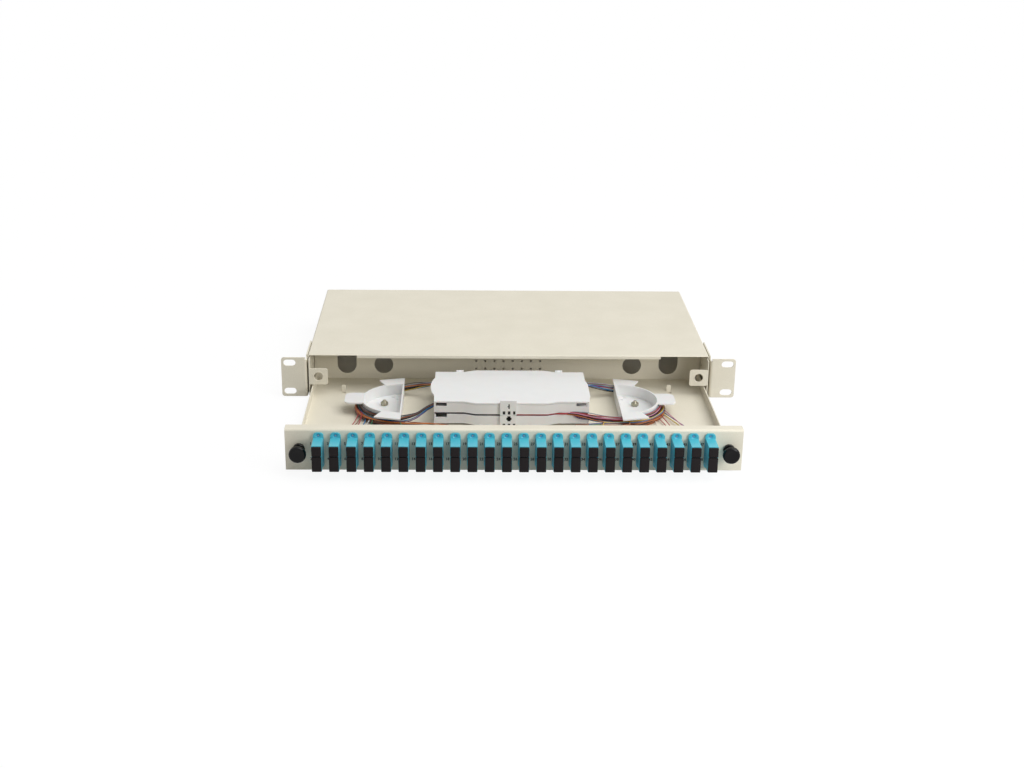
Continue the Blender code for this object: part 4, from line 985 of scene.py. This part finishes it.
def tube_into(bm, path, slot):
    across = tangent_at(path, 0).orthogonal().normalized()
    rings = []
    for index, point in enumerate(path):
        tangent = tangent_at(path, index)
        across = (across - tangent * across.dot(tangent)).normalized()
        side = tangent.cross(across)
        ring = []
        for step in range(FIBRE_SIDES):
            angle = 2 * math.pi * step / FIBRE_SIDES
            spoke = math.cos(angle) * across + math.sin(angle) * side
            ring.append(bm.verts.new(point + FIBRE_RADIUS * spoke))
        rings.append(ring)
    faces = [bm.faces.new(rings[0][::-1]), bm.faces.new(rings[-1])]
    for first, second in zip(rings, rings[1:]):
        for step in range(FIBRE_SIDES):
            after = (step + 1) % FIBRE_SIDES
            faces.append(bm.faces.new((first[step], first[after], second[after], second[step])))
    for face in faces:
        face.material_index = slot


def wander(path, across, up, rng, amount=0.3 * MM, wave=38 * MM):
    # Keeps a fibre's own place across its bundle, with a slow drift to either side
    phase = [rng.uniform(0, 2 * math.pi) for _ in range(2)]
    along = 0.0
    moved = []
    for index, point in enumerate(path):
        tangent = tangent_at(path, index)
        sideways = Vector((tangent.y, -tangent.x, 0)).normalized()
        along += (point - path[max(index - 1, 0)]).length
        drift = amount * math.sin(2 * math.pi * along / wave + phase[0])
        lift = amount * math.sin(2 * math.pi * along / (1.3 * wave) + phase[1])
        moved.append(point + sideways * (across + drift) + Vector((0, 0, up + lift)))
    return moved


def bundle_places(count, radius):
    golden = math.pi * (3 - math.sqrt(5))
    places = []
    for index in range(count):
        reach = radius * math.sqrt((index + 0.5) / count)
        places.append((reach * math.cos(index * golden), reach * math.sin(index * golden)))
    return places


def fibre_object(name, strands, *replaced):
    # Each strand is (path, colour name); one mesh holds them all, with a material slot for each colour used
    used = sorted({colour for _, colour in strands})
    bm = bmesh.new()
    for path, colour in strands:
        tube_into(bm, path, used.index(colour))
    item = new_object(name, mesh_from(bm, name, 60), *[jackets[colour] for colour in used])
    settle(item, "drawer", "fibre_jacket", *replaced)
    print(name, "has", len(strands), "fibres")


# %% Loops round the guides
LOOP_COLOURS = {
    "left": ["black", "slate", "black", "brown", "black", "orange", "slate", "blue", "black", "orange",
             "violet", "black", "yellow", "blue"],
    "right": ["red", "black", "violet", "green", "black", "slate", "red", "blue", "violet", "rose",
              "black", "slate", "orange", "blue"],
}
RIBBON_RADIUS = 0.0440
RIBBON_ARC = (84, -86, 8)
RIBBON_Z = 0.0094
RIBBON_ACROSS = 1.5 * MM
RIBBON_UP = 4.4 * MM
END_HEIGHT = 0.36
END_STEPS = 7
UPPER_ENTRY_Z = 0.0198
REAR_RUN = [(0.0778, 0.1788, UPPER_ENTRY_Z), (0.0850, 0.1800, UPPER_ENTRY_Z - 0.0015),
            (0.0980, 0.1875, RIBBON_Z + 0.0040)]
FRONT_RUNS = {
    "left": [(0.0980, 0.1052, RIBBON_Z + 0.0030), (0.0860, 0.1160, UPPER_ENTRY_Z - 0.0030),
             (0.0778, 0.1188, UPPER_ENTRY_Z)],
    "right": [(0.0980, 0.1030, RIBBON_Z + 0.0005), (0.0860, 0.1040, 0.0110), (0.0740, 0.1046, 0.0136),
              (0.0640, 0.1056, 0.0153), (0.0560, 0.1072, 0.0153)],
}


def squashed(places, across, up):
    # Turns a round bundle into a flat one, with fewer fibres side by side than above each other
    return [(x * across / BUNDLE_RADIUS, z * up / BUNDLE_RADIUS) for x, z in places]


def end_ribbon(path, rng, across, up):
    # A ribbon has its full height along the guide and closes up where it goes into a tray
    moved = wander(path, across, 0.0, rng)
    for index, point in enumerate(moved):
        inward = min(index, len(moved) - 1 - index) / END_STEPS
        point.z += up * min(1.0, END_HEIGHT + (1 - END_HEIGHT) * inward)
    return moved


for name, side in SIDES.items():
    rng = random.Random(11 + side)
    ring = [(x, y, RIBBON_Z) for x, y in arc_points(RIBBON_RADIUS, *RIBBON_ARC)]
    rear = [(x, DRAWER_Y + y, z) for x, y, z in REAR_RUN]
    front = [(x, DRAWER_Y + y, z) for x, y, z in FRONT_RUNS[name]]
    core = smooth_path([(side * x, y, z) for x, y, z in rear + ring + front], 4 * MM)
    colours = LOOP_COLOURS[name]
    places = squashed(bundle_places(len(colours), BUNDLE_RADIUS), RIBBON_ACROSS, RIBBON_UP)
    strands = []
    for colour, (across, up) in zip(colours, places):
        strands.append((end_ribbon(core, rng, across, up), colour))
    fibre_object(f"fibre_loop_{name}_strands", strands, f"fibre_loop_{name}")

# %% [markdown]
# ## Pigtails
# Forty-eight pigtails leave the boots. Each bends towards its own side, drops to the tray floor and joins
# the trunk, so that the trunk grows thicker towards the guide. The outer ones run low along the floor and
# come up to the trunk as a loose fan between the panel's lip and the guide.

# %% Pigtails into the trunks
PIGTAIL_ORDER = {
    "left": ["brown", "orange", "black", "brown", "slate", "brown", "orange", "green", "brown", "black",
             "orange", "aqua"],
    "right": ["orange", "brown", "black", "orange", "green", "brown", "orange", "red", "brown", "yellow",
              "orange", "blue"],
}
# The loose fan: each fibre's colour and its distance from the middle, in millimetres, as it comes in
FAN = {
    "left": [("green", 142), ("white", 146), ("blue", 150), ("red", 155), ("brown", 158), ("red", 161)],
    "right": [("white", 147), ("red", 157), ("red", 160), ("yellow", 170), ("rose", 173), ("violet", 176)],
}
FAN_ANGLES = {"left": (-50, 5), "right": (-38, 6)}
TRUNK_RADIUS = 0.0478
TRUNK_ARC = (10, -88, 7)
# The run in front of the splice trays: (inward from the guide, towards the panel)
TRUNK_RUN = [(0.0235, 0.0015), (0.0515, 0.0075), (0.0815, 0.0140), (0.0975, 0.0170)]
TRUNK_ACROSS = 1.8 * MM
TRUNK_UP = 3.3 * MM
FAN_START = 0.139
FLOOR_LAY_Z = 0.0040
FAN_Y = 0.0985
BOOT_RUN = Vector((0, 9 * MM, -0.5 * MM))
JOIN_AHEAD = 0.024
JOIN_LIMIT = 0.120


def trunk_route():
    run_y = GUIDE_CENTRE_Y - TRUNK_RADIUS
    run = [(GUIDE_CHORD_X - inward, run_y - forward) for inward, forward in TRUNK_RUN]
    return (arc_points(TRUNK_RADIUS, *TRUNK_ARC) + run)[::-1]


def nearest(path, x, y):
    return min(range(len(path)), key=lambda k: (abs(path[k].x) - x) ** 2 + (path[k].y - y) ** 2)


for name, side in SIDES.items():
    rng = random.Random(31 + side)
    trunk_core = smooth_path([(side * x, y, TRUNK_Z) for x, y in trunk_route()], 5 * MM)
    strands = []
    places = squashed(bundle_places(PORT_PAIRS, BUNDLE_RADIUS), TRUNK_ACROSS, TRUNK_UP)
    rng.shuffle(places)
    fan = 0
    for port in range(PORT_PAIRS):
        reach = PORT_STEP.x * (port // 2 + 0.5)
        up = -1 if port % 2 else 1
        start = Vector((side * reach, BOOT_TIP_Y - MM, PORT_FIRST.z + up * PORT_SPACING / 2))
        lead = [start, start + BOOT_RUN]
        across, lift = places[port]
        if reach < FAN_START:
            join = nearest(trunk_core, min(reach + JOIN_AHEAD, JOIN_LIMIT), GUIDE_CENTRE_Y - TRUNK_RADIUS)
            lean = side * rng.uniform(2, 6) * MM
            order = PIGTAIL_ORDER[name]
            colour = order[port * 5 % len(order)]
        else:
            first_angle, next_angle = FAN_ANGLES[name]
            angle = math.radians(first_angle + next_angle * fan)
            join = nearest(trunk_core, GUIDE_CHORD_X + TRUNK_RADIUS * math.cos(angle),
                           GUIDE_CENTRE_Y + TRUNK_RADIUS * math.sin(angle))
            colour, fan_x = FAN[name][fan]
            fan += 1
        join = min(join, len(trunk_core) - 4)
        followed = wander(trunk_core, across, lift, rng)[join:]
        if reach < FAN_START:
            lead.append(start.lerp(followed[0], 0.55) + Vector((lean, rng.uniform(-3, 5) * MM,
                                                                rng.uniform(-3, 2) * MM)))
        else:
            lead.append(Vector((side * (reach * 0.6 + fan_x * MM * 0.4), DRAWER_Y + 0.066, 0.0075)))
            lead.append(Vector((side * fan_x * MM, DRAWER_Y + FAN_Y, FLOOR_LAY_Z + rng.uniform(0, 2) * MM)))
        strands.append((smooth_path(lead + followed[:2], 4 * MM) + followed[2:], colour))
    fibre_object(f"pigtails_{name}", strands, f"fibre_trunk_{name}")

# %% [markdown]
# ## Fibre between the splice trays
# A few fibres lie in the gap between the two trays, along their front edge, dark on the left and red on
# the right, and leave past the right corner towards the guide.

# %% Crossing fibres
TRAY_FRONT_Y = SPLICE_CENTRE_Y - 0.0427
GUIDE_FRONT_Y = GUIDE_CENTRE_Y - RIBBON_RADIUS
CROSSING_Z = 0.0153
CROSSING_RISES = (-0.25 * MM, 0.30 * MM)
# The way of each colour in the gap: (x, distance behind the tray's front)
CROSSING = {
    "black": [(-0.0775, 0.0012), (-0.0480, 0.0004), (-0.0300, -0.0022), (-0.0060, -0.0030),
              (0.0060, -0.0024)],
    "red": [(-0.0040, -0.0032), (0.0300, -0.0036), (0.0440, -0.0012), (0.0560, -0.0004), (0.0700, 0.0010)],
    "brown": [(0.0420, 0.0004), (0.0560, 0.0000), (0.0775, 0.0006)],
}
# The fibres that leave to the guide, each with its drop in millimetres, and the points of their way, each
# with the share of the drop that they have reached there
LEAVING = (("rose", 0.0), ("red", 0.9), ("red", 1.8), ("black", 2.6), ("violet", 3.4))
LEAVING_WAY = [
    (0.0560, TRAY_FRONT_Y + 0.0012, 0.0153, 0), (0.0625, TRAY_FRONT_Y - 0.0006, 0.0150, 1 / 3),
    (0.0690, TRAY_FRONT_Y - 0.0016, 0.0142, 1), (0.0830, TRAY_FRONT_Y - 0.0016, 0.0128, 1),
    (0.0980, GUIDE_FRONT_Y, 0.0118, 1), (0.1130, GUIDE_FRONT_Y - 0.0014, 0.0115, 1),
    (0.1330, GUIDE_CENTRE_Y - 0.0400, 0.0115, 1),
]
crossing = []
rng = random.Random(5)
for colour, way in CROSSING.items():
    route = smooth_path([(x, TRAY_FRONT_Y + y, CROSSING_Z) for x, y in way], 3 * MM)
    for rise in CROSSING_RISES:
        crossing.append((wander(route, 0.0, rise, rng, 0.12 * MM, 16 * MM), colour))
for colour, drop in LEAVING:
    points = [(x, y, z - drop * MM * share) for x, y, z, share in LEAVING_WAY]
    crossing.append((wander(smooth_path(points, 3 * MM), 0.0, 0.0, rng, 0.2 * MM, 24 * MM), colour))
fibre_object("crossing_fibres", crossing, "crossing_fibre")

# %% Coils inside the trays
COIL_STRAIGHT = 0.0460
COIL_TURNS = 10
COIL_INNER = 0.0235
COIL_STEP = 0.0014
COIL_COLOURS = ["rose", "black", "brown", "violet", "slate", "red", "blue"]
for level, floor_z, seed in (("lower", 0.0057, 71), ("upper", 0.0177, 72)):
    rng = random.Random(seed)
    strands = []
    for turn in range(COIL_TURNS):
        radius = COIL_INNER + COIL_STEP * turn
        z = floor_z + rng.uniform(1.2, 6.0) * MM
        points = []
        for side in (1, -1):
            for step in range(7):
                angle = math.radians(-90 + 180 * step / 6)
                points.append((side * (COIL_STRAIGHT + 0.72 * radius * math.cos(angle)),
                               SPLICE_CENTRE_Y + side * radius * math.sin(angle), z))
        points.append(points[0])
        coil = wander(smooth_path(points, 6 * MM), 0.0, 0.0, rng, 0.5 * MM, 50 * MM)
        strands.append((coil, rng.choice(COIL_COLOURS)))
    fibre_object(f"splice_coil_{level}", strands)

# %% [markdown]
# ## Floor, light and view
# The picture has a plain white ground. The floor is white, and for camera and mirror rays part of its
# colour is its own glow, so that it stays white while the object still casts a soft shadow on it. A broad
# soft sun stands high to the right and a little in front, so the cover is lit evenly and shades the back of
# the drawer. A lamp on the right lifts the panel's right end, and the sky is a plain dome.

# %% Floor
FLOOR_SIZE = 16.0
FLOOR_DROP = 0.4 * MM
FLOOR_GLOW = 0.90


def seen_directly(tree):
    # 1 for rays from the camera, off a shiny surface or through one, and 0 for light that only bounces
    path = add_node(tree, "ShaderNodeLightPath").outputs
    shiny = add_node(tree, "ShaderNodeMath", {0: path["Is Glossy Ray"], 1: path["Is Transmission Ray"]},
                     operation="MAXIMUM")
    seen = add_node(tree, "ShaderNodeMath", {0: path["Is Camera Ray"], 1: shiny.outputs["Value"]},
                    operation="MAXIMUM")
    return seen.outputs["Value"]


def studio_floor():
    material, tree, _ = start_material("studio_floor")
    matte = add_node(tree, "ShaderNodeBsdfDiffuse", {"Color": linear("#CDCDCC")})
    shade = add_node(tree, "ShaderNodeBsdfDiffuse", {"Color": linear("#5C5C5C")})
    glow = add_node(tree, "ShaderNodeEmission", {"Color": linear("#FFFFFF"), "Strength": FLOOR_GLOW})
    white = add_node(tree, "ShaderNodeAddShader", {0: shade.outputs["BSDF"], 1: glow.outputs["Emission"]})
    mix = add_node(tree, "ShaderNodeMixShader", {
        0: seen_directly(tree), 1: matte.outputs["BSDF"], 2: white.outputs["Shader"]})
    add_node(tree, "ShaderNodeOutputMaterial", {"Surface": mix.outputs["Shader"]})
    return material


bm = bmesh.new()
bmesh.ops.create_grid(bm, x_segments=1, y_segments=1, size=FLOOR_SIZE / 2)
bmesh.ops.translate(bm, verts=bm.verts, vec=(0, 0, -FLOOR_DROP))
floor = new_object("studio_floor", mesh_from(bm, "studio_floor"), studio_floor())
print("Floor is", FLOOR_SIZE, "m wide")

# %% Light
WORLD_LEVEL = 0.40
SUN_LEVEL = 1.98
SUN_WIDTH = 60
FRONT_POWER = 2.5
FRONT_SIZE = 0.3


def aimed_lamp(name, kind, place, target):
    data = bpy.data.lights.new(name, kind)
    lamp = bpy.data.objects.new(name, data)
    bpy.context.scene.collection.objects.link(lamp)
    lamp.location = place
    aim = Vector(target) - Vector(place)
    lamp.rotation_euler = aim.to_track_quat("-Z", "Y").to_euler()
    return data


sun = aimed_lamp("high_sun", "SUN", (1.00, -0.20, 1.75), (0, 0, 0))
sun.energy = SUN_LEVEL
sun.angle = math.radians(SUN_WIDTH)
front_lamp = aimed_lamp("front_lamp", "AREA", (0.60, -0.78, 0.30), (0.15, -0.28, 0.02))
front_lamp.size = FRONT_SIZE
front_lamp.energy = FRONT_POWER
world = bpy.data.worlds.new("pale_dome")
world.use_nodes = True
sky = world.node_tree
sky.nodes.clear()
background = add_node(sky, "ShaderNodeBackground", {
    "Color": linear("#FFFFFF"), "Strength": spread(sky, seen_directly(sky), WORLD_LEVEL, 1.0)})
add_node(sky, "ShaderNodeOutputWorld", {"Surface": background.outputs["Background"]})
bpy.context.scene.world = world
bpy.context.scene.view_settings.view_transform = "Standard"
print("Sun", SUN_LEVEL, "over a dome of", WORLD_LEVEL)
